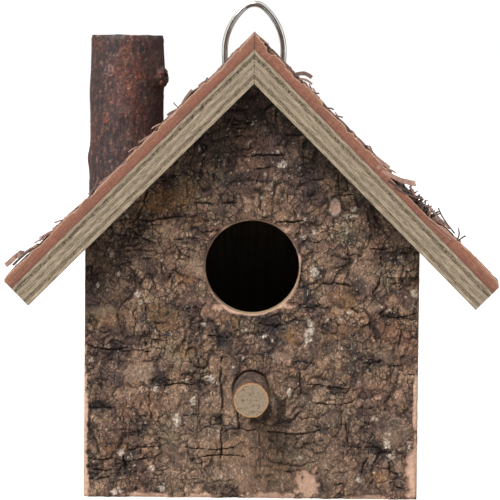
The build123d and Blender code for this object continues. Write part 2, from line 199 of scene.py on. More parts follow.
def makeScalyBark():
    # scaly bark of the roof: red-brown plates with a grey skin on top and salmon layers where it peels
    material, tree, shader = newMaterial("scalyBark")
    point = objectPoint(tree)
    broad = addNode(tree, "TexNoise", {"Vector": point, "Scale": 1 / (10 * mm), "Detail": 5.0})
    base = addNode(tree, "ValToRGB", {0: broad.outputs[0]},
                   stops=[(0.32, "#4E372E"), (0.48, "#6E4B3C"), (0.62, "#8A6553"), (0.75, "#94806F")])
    grains = addNode(tree, "TexNoise", {"Vector": point, "Scale": 1 / (1.2 * mm), "Detail": 3.0,
                                        "Roughness": 0.65})
    speckle = addNode(tree, "ValToRGB", {0: grains.outputs[0]}, stops=[(0.34, 0.55), (0.5, 0.95),
                                                                       (0.66, 1.35)])
    grainy = addNode(tree, "Mix", {0: 1.0, 6: base.outputs[0], 7: speckle.outputs[0]},
                     data_type="RGBA", blend_type="MULTIPLY")
    colour = grainy.outputs[2]
    for name, hexText, strength in (("inner", "#8F6552", 0.9), ("pale", "#B5968A", 0.9),
                                    ("soot", "#2A2422", 0.9),
                                    ("crack", "#1E1411", 0.95)):
        mask = addNode(tree, "Attribute", attribute_name=name)
        scaled = addNode(tree, "Math", {0: mask.outputs["Fac"], 1: strength}, operation="MULTIPLY")
        colour = addNode(tree, "Mix", {0: scaled.outputs[0], 6: colour, 7: linear(hexText)},
                         data_type="RGBA").outputs[2]
    tree.links.new(colour, shader.inputs["Base Color"])
    shader.inputs["Roughness"].default_value = 0.78
    bump = addNode(tree, "Bump", {"Height": grains.outputs[0], "Strength": 0.6, "Distance": 0.3 * mm})
    tree.links.new(bump.outputs[0], shader.inputs["Normal"])
    return material


def slopePoint(tree):
    # object coordinates turned to (down the slope, front to back, above the roof's underside), both slopes
    split = addNode(tree, "SeparateXYZ", {0: objectPoint(tree)})
    away = addNode(tree, "Math", {0: split.outputs["X"]}, operation="ABSOLUTE")
    total = addNode(tree, "Math", {0: away.outputs[0], 1: split.outputs["Z"]}, operation="ADD")
    above = addNode(tree, "Math", {0: total.outputs[0], 1: cosSlope, 2: -peak * mm * cosSlope},
                    operation="MULTIPLY_ADD")
    less = addNode(tree, "Math", {0: away.outputs[0], 1: split.outputs["Z"]}, operation="SUBTRACT")
    along = addNode(tree, "Math", {0: less.outputs[0], 1: cosSlope}, operation="MULTIPLY")
    joined = addNode(tree, "CombineXYZ", {0: along.outputs[0], 1: split.outputs["Y"], 2: above.outputs[0]})
    return joined.outputs[0], above.outputs[0]


def ridgeSeam(tree, colour, hexText, strength):
    # a fine dark line where the two slopes meet in the mitre
    split = addNode(tree, "SeparateXYZ", {0: objectPoint(tree)})
    away = addNode(tree, "Math", {0: split.outputs["X"]}, operation="ABSOLUTE")
    line = addNode(tree, "MapRange", {"Value": away.outputs[0], "From Min": 0.1 * mm, "From Max": 0.32 * mm,
                                      "To Min": strength, "To Max": 0.0})
    return addNode(tree, "Mix", {0: line.outputs[0], 6: colour, 7: linear(hexText)},
                   data_type="RGBA").outputs[2]


def makeSawnBark():
    # the sawn front of the roof bark: smooth red-brown, streaked along the slope, lighter at the outside
    material, tree, shader = newMaterial("sawnBark")
    point, above = slopePoint(tree)
    depth = addNode(tree, "MapRange", {"Value": above, "From Min": plyThick * mm,
                                       "From Max": (plyThick + barkThick) * mm})
    wander = addNode(tree, "TexNoise", {"Vector": point, "Scale": 1 / (14 * mm), "Detail": 3.0})
    shifted = addNode(tree, "Math", {0: wander.outputs[0], 1: 0.6, 2: depth.outputs[0]},
                      operation="MULTIPLY_ADD")
    centred = addNode(tree, "Math", {0: shifted.outputs[0], 1: 0.18}, operation="SUBTRACT")
    base = addNode(tree, "ValToRGB", {0: centred.outputs[0]},
                   stops=[(0.22, "#724536"), (0.46, "#7C4D3A"), (0.76, "#81543E"), (1.0, "#8B614C")])
    stretched = addNode(tree, "Mapping", {0: point, 3: (1 / (7 * mm), 1 / (2 * mm), 1 / (0.45 * mm))})
    streaks = addNode(tree, "TexNoise", {"Vector": stretched.outputs[0], "Scale": 1.0, "Detail": 4.0})
    tone = addNode(tree, "ValToRGB", {0: streaks.outputs[0]}, stops=[(0.32, 0.74), (0.5, 1.0), (0.68, 1.2)])
    streaky = addNode(tree, "Mix", {0: 1.0, 6: base.outputs[0], 7: tone.outputs[0]},
                      data_type="RGBA", blend_type="MULTIPLY")
    dark = addNode(tree, "Attribute", attribute_name="crack")
    pale = addNode(tree, "Attribute", attribute_name="pale")
    split = addNode(tree, "Mix", {0: dark.outputs["Fac"], 6: streaky.outputs[2], 7: linear("#2A1712")},
                    data_type="RGBA")
    # painted highlight: the pale mask lights the top edge of the sawn face, where it meets the roof's upper side
    rim = addNode(tree, "Mix", {0: pale.outputs["Fac"], 6: split.outputs[2], 7: linear("#BF9A85")},
                  data_type="RGBA")
    grains = addNode(tree, "TexNoise", {"Vector": point, "Scale": 1 / (0.55 * mm), "Detail": 3.0})
    speckle = addNode(tree, "ValToRGB", {0: grains.outputs[0]}, stops=[(0.34, 0.72), (0.5, 1.0),
                                                                       (0.66, 1.28)])
    grainy = addNode(tree, "Mix", {0: 1.0, 6: rim.outputs[2], 7: speckle.outputs[0]},
                     data_type="RGBA", blend_type="MULTIPLY")
    tree.links.new(ridgeSeam(tree, grainy.outputs[2], "#3A231A", 0.45), shader.inputs["Base Color"])
    shader.inputs["Roughness"].default_value = 0.7
    bump = addNode(tree, "Bump", {"Height": streaks.outputs[0], "Strength": 0.5, "Distance": 0.15 * mm})
    tree.links.new(bump.outputs[0], shader.inputs["Normal"])
    return material


def makePlyEdge():
    # sawn plywood edge: seven plies, long grain pale, end grain darker and pitted, a dark glue line under the bark
    material, tree, shader = newMaterial("sawnPlyEdge")
    point, above = slopePoint(tree)
    wobble = addNode(tree, "TexNoise", {"Vector": point, "Scale": 1 / (30 * mm), "Detail": 2.0})
    height = addNode(tree, "Math", {0: wobble.outputs[0], 1: 0.5 * mm, 2: above}, operation="MULTIPLY_ADD")
    layer = addNode(tree, "MapRange", {"Value": height.outputs[0], "From Min": 0.25 * mm,
                                       "From Max": (plyThick + 0.25) * mm})
    light, middle, dark = "#8E7F6A", "#84745F", "#786853"
    bands = [(0.0, "#6B5F4E"), (0.03, light), (0.138, light), (0.150, dark), (0.278, dark), (0.292, light),
             (0.420, light), (0.434, middle), (0.562, middle), (0.576, light), (0.705, light),
             (0.720, dark),
             (0.850, dark), (0.864, light), (0.965, light), (0.988, "#5E3F2B")]
    base = addNode(tree, "ValToRGB", {0: layer.outputs[0]}, stops=bands)
    endGrain = addNode(tree, "ValToRGB", {0: layer.outputs[0]},
                       stops=[(0.142, 0.08), (0.155, 0.85), (0.275, 0.85), (0.29, 0.08), (0.425, 0.08),
                              (0.44, 0.5),
                              (0.56, 0.5), (0.575, 0.08), (0.71, 0.08), (0.725, 1.0), (0.85, 1.0),
                              (0.865, 0.15)])
    stretched = addNode(tree, "Mapping", {0: point, 3: (1 / (2.6 * mm), 1 / (6 * mm), 1 / (0.20 * mm))})
    fibres = addNode(tree, "TexNoise", {"Vector": stretched.outputs[0], "Scale": 1.0, "Detail": 3.0,
                                        "Roughness": 0.5})
    tone = addNode(tree, "ValToRGB", {0: fibres.outputs[0]}, stops=[(0.34, 0.50), (0.45, 0.90),
                                                                    (0.55, 1.08), (0.66, 1.46)])
    fibrous = addNode(tree, "Mix", {0: 1.0, 6: base.outputs[0], 7: tone.outputs[0]},
                      data_type="RGBA", blend_type="MULTIPLY")
    drilled = addNode(tree, "Mapping", {0: point, 3: (1 / (0.55 * mm), 1 / (0.6 * mm), 1 / (0.34 * mm))})
    pits = addNode(tree, "TexNoise", {"Vector": drilled.outputs[0], "Scale": 1.0, "Detail": 2.0})
    pitMask = addNode(tree, "ValToRGB", {0: pits.outputs[0]}, stops=[(0.50, 0.0), (0.60, 0.95)])
    pitted = addNode(tree, "Math", {0: pitMask.outputs[0], 1: endGrain.outputs[0]}, operation="MULTIPLY")
    porous = addNode(tree, "Mix", {0: pitted.outputs[0], 6: fibrous.outputs[2], 7: linear("#3A3022")},
                     data_type="RGBA")
    gap = addNode(tree, "Attribute", attribute_name="crack")
    final = addNode(tree, "Mix", {0: gap.outputs["Fac"], 6: porous.outputs[2], 7: linear("#1E160F")},
                    data_type="RGBA")
    tree.links.new(ridgeSeam(tree, final.outputs[2], "#4A3B2A", 0.5), shader.inputs["Base Color"])
    shader.inputs["Roughness"].default_value = 0.8
    bump = addNode(tree, "Bump", {"Height": fibres.outputs[0], "Strength": 0.6, "Distance": 0.2 * mm})
    tree.links.new(bump.outputs[0], shader.inputs["Normal"])
    return material


def makePlyFace(name, grainAxis, layerAxis, inside=0):
    # rotary-cut plywood face: pale tan with long wandering grain, and its plies where an edge shows
    material, tree, shader = newMaterial(name)
    point = objectPoint(tree)
    sizes = [1 / (2.6 * mm)] * 3
    sizes[grainAxis] = 1 / (42 * mm)
    stretched = addNode(tree, "Mapping", {0: point, 3: sizes})
    grain = addNode(tree, "TexNoise", {"Vector": stretched.outputs[0], "Scale": 1.0, "Detail": 5.0,
                                       "Roughness": 0.6, "Distortion": 0.8})
    face = addNode(tree, "ValToRGB", {0: grain.outputs[0]},
                   stops=[(0.30, "#8C7356"), (0.45, "#AA8F6E"), (0.58, "#BDA481"), (0.75, "#C9B291")])
    split = addNode(tree, "SeparateXYZ", {0: point})
    ply = addNode(tree, "Math", {0: split.outputs[layerAxis], 1: math.pi * 7 / (plyThick * mm)},
                  operation="MULTIPLY")
    stripe = addNode(tree, "Math", {0: ply.outputs[0]}, operation="SINE")
    edge = addNode(tree, "ValToRGB", {0: stripe.outputs[0]}, stops=[(0.25, "#8A7557"), (0.6, "#B29C7E")])
    facing = addNode(tree, "SeparateXYZ", {0: addNode(tree, "NewGeometry").outputs["True Normal"]})
    flat = addNode(tree, "Math", {0: facing.outputs[layerAxis]}, operation="ABSOLUTE")
    isFace = addNode(tree, "Math", {0: flat.outputs[0], 1: 0.6}, operation="GREATER_THAN")
    both = addNode(tree, "Mix", {0: isFace.outputs[0], 6: edge.outputs[0], 7: face.outputs[0]},
                   data_type="RGBA")
    fine = addNode(tree, "TexNoise", {"Vector": point, "Scale": 1 / (1.0 * mm), "Detail": 3.0})
    pores = addNode(tree, "ValToRGB", {0: fine.outputs[0]}, stops=[(0.34, 0.8), (0.5, 1.0), (0.66, 1.1)])
    porous = addNode(tree, "Mix", {0: 1.0, 6: both.outputs[2], 7: pores.outputs[0]},
                     data_type="RGBA", blend_type="MULTIPLY")
    # painted shade: the face that looks into the box is painted dark, for the shade inside the box seen through
    # the entry hole
    inward = addNode(tree, "Math", {0: facing.outputs[layerAxis], 1: inside}, operation="MULTIPLY")
    insideShade = addNode(tree, "MapRange", {"Value": inward.outputs[0], "From Min": 0.4, "From Max": 0.6,
                                          "To Min": 0.0, "To Max": 0.78})
    shadedInside = addNode(tree, "Mix", {0: insideShade.outputs[0], 6: porous.outputs[2], 7: linear("#1C1611")},
                      data_type="RGBA")
    tree.links.new(shadedInside.outputs[2], shader.inputs["Base Color"])
    shader.inputs["Roughness"].default_value = 0.72
    bump = addNode(tree, "Bump", {"Height": grain.outputs[0], "Strength": 0.35, "Distance": 0.2 * mm})
    tree.links.new(bump.outputs[0], shader.inputs["Normal"])
    return material


def makeLogBark():
    # young smooth bark of the chimney log: dark red-brown with a grey bloom, rust patches and fine cracks; its
    # pale mask also holds a painted reflection along the left edge and its crack mask painted shade on the right
    # side
    material, tree, shader = newMaterial("smoothBark")
    point = objectPoint(tree)
    stretched = addNode(tree, "Mapping", {0: point, 3: (1 / (1.4 * mm), 1 / (1.4 * mm), 1 / (3.6 * mm))})
    streaks = addNode(tree, "TexNoise", {"Vector": stretched.outputs[0], "Scale": 1.0, "Detail": 5.0,
                                         "Roughness": 0.65})
    base = addNode(tree, "ValToRGB", {0: streaks.outputs[0]},
                   stops=[(0.34, "#160F0F"), (0.46, "#2E1E1C"), (0.56, "#452A24"), (0.70, "#785649")])
    patch = addNode(tree, "TexNoise", {"Vector": point, "Scale": 1 / (13 * mm), "Detail": 3.0})
    rusty = addNode(tree, "ValToRGB", {0: patch.outputs[0]}, stops=[(0.49, 0.0), (0.60, 0.5)])
    redder = addNode(tree, "Mix", {0: rusty.outputs[0], 6: base.outputs[0], 7: linear("#54291E")},
                     data_type="RGBA")
    colour = redder.outputs[2]
    for name, hexText, strength in (("ochre", "#7A4026", 0.66), ("pale", "#A5857A", 0.62),
                                    ("crack", "#170F0F", 0.92)):
        mask = addNode(tree, "Attribute", attribute_name=name)
        scaled = addNode(tree, "Math", {0: mask.outputs["Fac"], 1: strength}, operation="MULTIPLY")
        colour = addNode(tree, "Mix", {0: scaled.outputs[0], 6: colour, 7: linear(hexText)},
                         data_type="RGBA").outputs[2]
    grains = addNode(tree, "TexNoise", {"Vector": point, "Scale": 1 / (0.8 * mm), "Detail": 2.0})
    speckle = addNode(tree, "ValToRGB", {0: grains.outputs[0]}, stops=[(0.36, 0.45), (0.5, 0.96),
                                                                       (0.64, 1.6)])
    grainy = addNode(tree, "Mix", {0: 1.0, 6: colour, 7: speckle.outputs[0]},
                     data_type="RGBA", blend_type="MULTIPLY")
    tree.links.new(grainy.outputs[2], shader.inputs["Base Color"])
    shader.inputs["Roughness"].default_value = 0.58
    bump = addNode(tree, "Bump", {"Height": streaks.outputs[0], "Strength": 0.7, "Distance": 0.3 * mm})
    tree.links.new(bump.outputs[0], shader.inputs["Normal"])
    return material


def makeEndGrain(name, centre, axis, light, dark):
    # sawn end of a branch: pale wood with fine year rings, pores and a darker pith
    material, tree, shader = newMaterial(name)
    point = objectPoint(tree)
    moved = addNode(tree, "VectorMath", {0: point, 1: Vector(centre) * mm}, operation="SUBTRACT")
    keep = [1.0, 1.0, 1.0]
    keep[axis] = 0.0
    flattened = addNode(tree, "VectorMath", {0: moved.outputs[0], 1: keep}, operation="MULTIPLY")
    wander = addNode(tree, "TexNoise", {"Vector": point, "Scale": 1 / (5 * mm), "Detail": 2.0})
    radius = addNode(tree, "VectorMath", {0: flattened.outputs[0]}, operation="LENGTH")
    bent = addNode(tree, "Math", {0: wander.outputs[0], 1: 0.9 * mm, 2: radius.outputs["Value"]},
                   operation="MULTIPLY_ADD")
    rings = addNode(tree, "Math", {0: bent.outputs[0], 1: 2 * math.pi / (0.9 * mm)}, operation="MULTIPLY")
    ringWave = addNode(tree, "Math", {0: rings.outputs[0]}, operation="SINE")
    grains = addNode(tree, "TexNoise", {"Vector": point, "Scale": 1 / (1.1 * mm), "Detail": 4.0,
                                        "Roughness": 0.75})
    mixed = addNode(tree, "Math", {0: ringWave.outputs[0], 1: 0.022, 2: grains.outputs[0]},
                    operation="MULTIPLY_ADD")
    base = addNode(tree, "ValToRGB", {0: mixed.outputs[0]}, stops=[(0.36, dark), (0.48, light),
                                                                   (0.72, light)])
    rim = addNode(tree, "Attribute", attribute_name="ochre")
    pith = addNode(tree, "Attribute", attribute_name="crack")
    orange = addNode(tree, "Mix", {0: rim.outputs["Fac"], 6: base.outputs[0], 7: linear("#A97C55")},
                     data_type="RGBA")
    final = addNode(tree, "Mix", {0: pith.outputs["Fac"], 6: orange.outputs[2], 7: linear("#6B5A45")},
                    data_type="RGBA")
    tree.links.new(final.outputs[2], shader.inputs["Base Color"])
    shader.inputs["Roughness"].default_value = 0.8
    bump = addNode(tree, "Bump", {"Height": grains.outputs[0], "Strength": 0.4, "Distance": 0.15 * mm})
    tree.links.new(bump.outputs[0], shader.inputs["Normal"])
    return material


def makeSteel(name, tone, roughness, lineAxis, lineDepth=0.25):
    # steel with fine drawing or rolling lines, a little dull between the bright streaks
    material, tree, shader = newMaterial(name)
    point = objectPoint(tree)
    sizes = [1 / (0.25 * mm)] * 3
    sizes[lineAxis] = 1 / (9 * mm)
    stretched = addNode(tree, "Mapping", {0: point, 3: sizes})
    lines = addNode(tree, "TexNoise", {"Vector": stretched.outputs[0], "Scale": 1.0, "Detail": 3.0})
    spots = addNode(tree, "TexNoise", {"Vector": point, "Scale": 1 / (3 * mm), "Detail": 3.0})
    colour = addNode(tree, "ValToRGB", {0: spots.outputs[0]}, stops=[(0.3, tone[0]), (0.7, tone[1])])
    rough = addNode(tree, "MapRange", {"Value": lines.outputs[0], "To Min": roughness - 0.4 * lineDepth,
                                       "To Max": roughness + 0.5 * lineDepth})
    tree.links.new(colour.outputs[0], shader.inputs["Base Color"])
    tree.links.new(rough.outputs[0], shader.inputs["Roughness"])
    shader.inputs["Metallic"].default_value = 1.0
    bump = addNode(tree, "Bump", {"Height": lines.outputs[0], "Strength": lineDepth, "Distance": 0.04 * mm})
    tree.links.new(bump.outputs[0], shader.inputs["Normal"])
    return material


furrowedBark = makeWallBark()
scalyBark = makeScalyBark()
sawnBark = makeSawnBark()
sawnPlyEdge = makePlyEdge()
plyFront = makePlyFace("rotaryCutPlyFront", 2, 1, 1)
plyRear = makePlyFace("rotaryCutPlyRear", 2, 1, -1)
plyLeft = makePlyFace("rotaryCutPlyLeft", 2, 0, 1)
plyRight = makePlyFace("rotaryCutPlyRight", 2, 0, -1)
plyFloor = makePlyFace("rotaryCutPlyFloor", 1, 2, 1)
plyDoor = makePlyFace("rotaryCutPlyDoor", 0, 1)
smoothBark = makeLogBark()
drawnSteel = makeSteel("drawnSteelWire", ("#B5AFA8", "#D2CECA"), 0.14, 2, 0.05)
rolledSteel = makeSteel("rolledSteelStrip", ("#85827E", "#B2AFAB"), 0.34, 2)
zincPlate = makeSteel("zincPlatedSteel", ("#8F8C86", "#BDBAB2"), 0.36, 1)
perchEnd = makeEndGrain("sawnBranchEnd", (perchAt["x"], 0, perchAt["z"]), 1, "#887661", "#413525")
logEnd = makeEndGrain("sawnLogEnd", ((logLow.x + logHigh.x) / 2, (logLow.y + logHigh.y) / 2, 0), 2,
                      "#B99C78", "#8F7253")
print("materials made:", len(bpy.data.materials))


# small functions for shapes
def wave(u, v, size, seed):
    # smooth noise from -1 to 1, with features of about that size in millimetres
    return noise.noise(Vector((u / size, v / size, seed)))


def cloudy(u, v, size, seed, octaves=3):
    return noise.fractal(Vector((u / size, v / size, seed)), 0.8, 2.1, octaves)


def ease(low, high, value):
    t = min(1.0, max(0.0, (value - low) / (high - low)))
    return t * t * (3 - 2 * t)


def cells(u, v, wide, tall, seed):
    # distance to the nearest cell border, and a random value for the cell
    distance, points = noise.voronoi(Vector((u / wide, v / tall, seed)))
    centre = points[0]
    pick = math.sin(centre.x * 127.1 + centre.y * 311.7 + centre.z * 74.7) * 43758.5453
    return distance[1] - distance[0], pick - math.floor(pick)


def finishMesh(name, bm, body, materials, replaced=(), sharp=50):
    # millimetres to metres, closed and outward, and onto its body
    bmesh.ops.scale(bm, vec=(mm, mm, mm), verts=bm.verts)
    mesh = bpy.data.meshes.new(name)
    bm.to_mesh(mesh)
    bm.free()
    mesh.shade_smooth()
    mesh.set_sharp_from_angle(angle=math.radians(sharp))
    piece = bpy.data.objects.new(name, mesh)
    bpy.context.scene.collection.objects.link(piece)
    for material in materials:
        mesh.materials.append(material)
    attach(piece, body)
    if replaced:
        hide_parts(*replaced)
    print(name, len(mesh.polygons), "faces")
    return piece


# masks that the materials read, painted on the bark
attributes = ("crack", "soot", "inner", "ochre", "pale", "plate", "tone")
sideNames = {1: "right", -1: "left"}


def paint(vertex, layers, **values):
    for name in attributes:
        vertex[layers[name]] = values.get(name, 0.0)


def deepen(masks, **values):
    # raises masks where the new value is the stronger one
    for name, value in values.items():
        masks[name] = max(masks[name], value)


def openEdges(bm):
    return [e for e in bm.edges if e.is_boundary]


def cutAway(bm, place, normal, **clear):
    # cuts the whole shape with a plane and returns what lies along the cut
    everything = bm.verts[:] + bm.edges[:] + bm.faces[:]
    return bmesh.ops.bisect_plane(bm, geom=everything, plane_co=place, plane_no=normal, **clear)["geom_cut"]


def barkLayers(bm):
    return {name: bm.verts.layers.float.new(name) for name in attributes}


def punchHole(bm, centre, radius, step):
    # opens a round hole in a flat grid and pulls its edge onto the circle
    middle = Vector(centre)
    inside = [v for v in bm.verts if (v.co.xy - middle).length < radius - 0.4 * step]
    bmesh.ops.delete(bm, geom=inside, context="VERTS")
    for v in bm.verts:
        away = v.co.xy - middle
        if v.is_boundary and away.length < radius + 2 * step:
            v.co.xy = middle + away.normalized() * radius


def closeBack(bm, layers, depth, steps, ripple, seed):
    # carries every open edge back to the board in a few sawn steps, then closes the back
    rim = openEdges(bm)
    tops = {}
    for share in steps:
        grown = bmesh.ops.extrude_edge_only(bm, edges=rim)["geom"]
        rim = [g for g in grown if isinstance(g, bmesh.types.BMEdge) and g.is_boundary]
        fresh = {v for e in rim for v in e.verts}
        for v in fresh:
            below = [e.other_vert(v) for e in v.link_edges if e.other_vert(v) not in fresh]
            start = tops.get(below[0], below[0].co.z) if below else v.co.z
            tops[v] = start
            v.co.z = start + (-depth - start) * share
            if share < 1:
                v.co.x += ripple * wave(v.co.x + v.co.z * 3, v.co.y, 1.7, seed)
                v.co.y += ripple * wave(v.co.x, v.co.y + v.co.z * 3, 1.7, seed + 3)
            paint(v, layers, inner=0.85, tone=0.5)
    bmesh.ops.triangle_fill(bm, use_beauty=False, edges=rim)


def placeSlab(bm, right, up, out, origin):
    # local right, up and out become directions in the frame
    turn = Matrix((right, up, out)).transposed().to_4x4()
    bmesh.ops.transform(bm, matrix=Matrix.Translation(origin) @ turn, verts=bm.verts)
    bmesh.ops.recalc_face_normals(bm, faces=bm.faces)
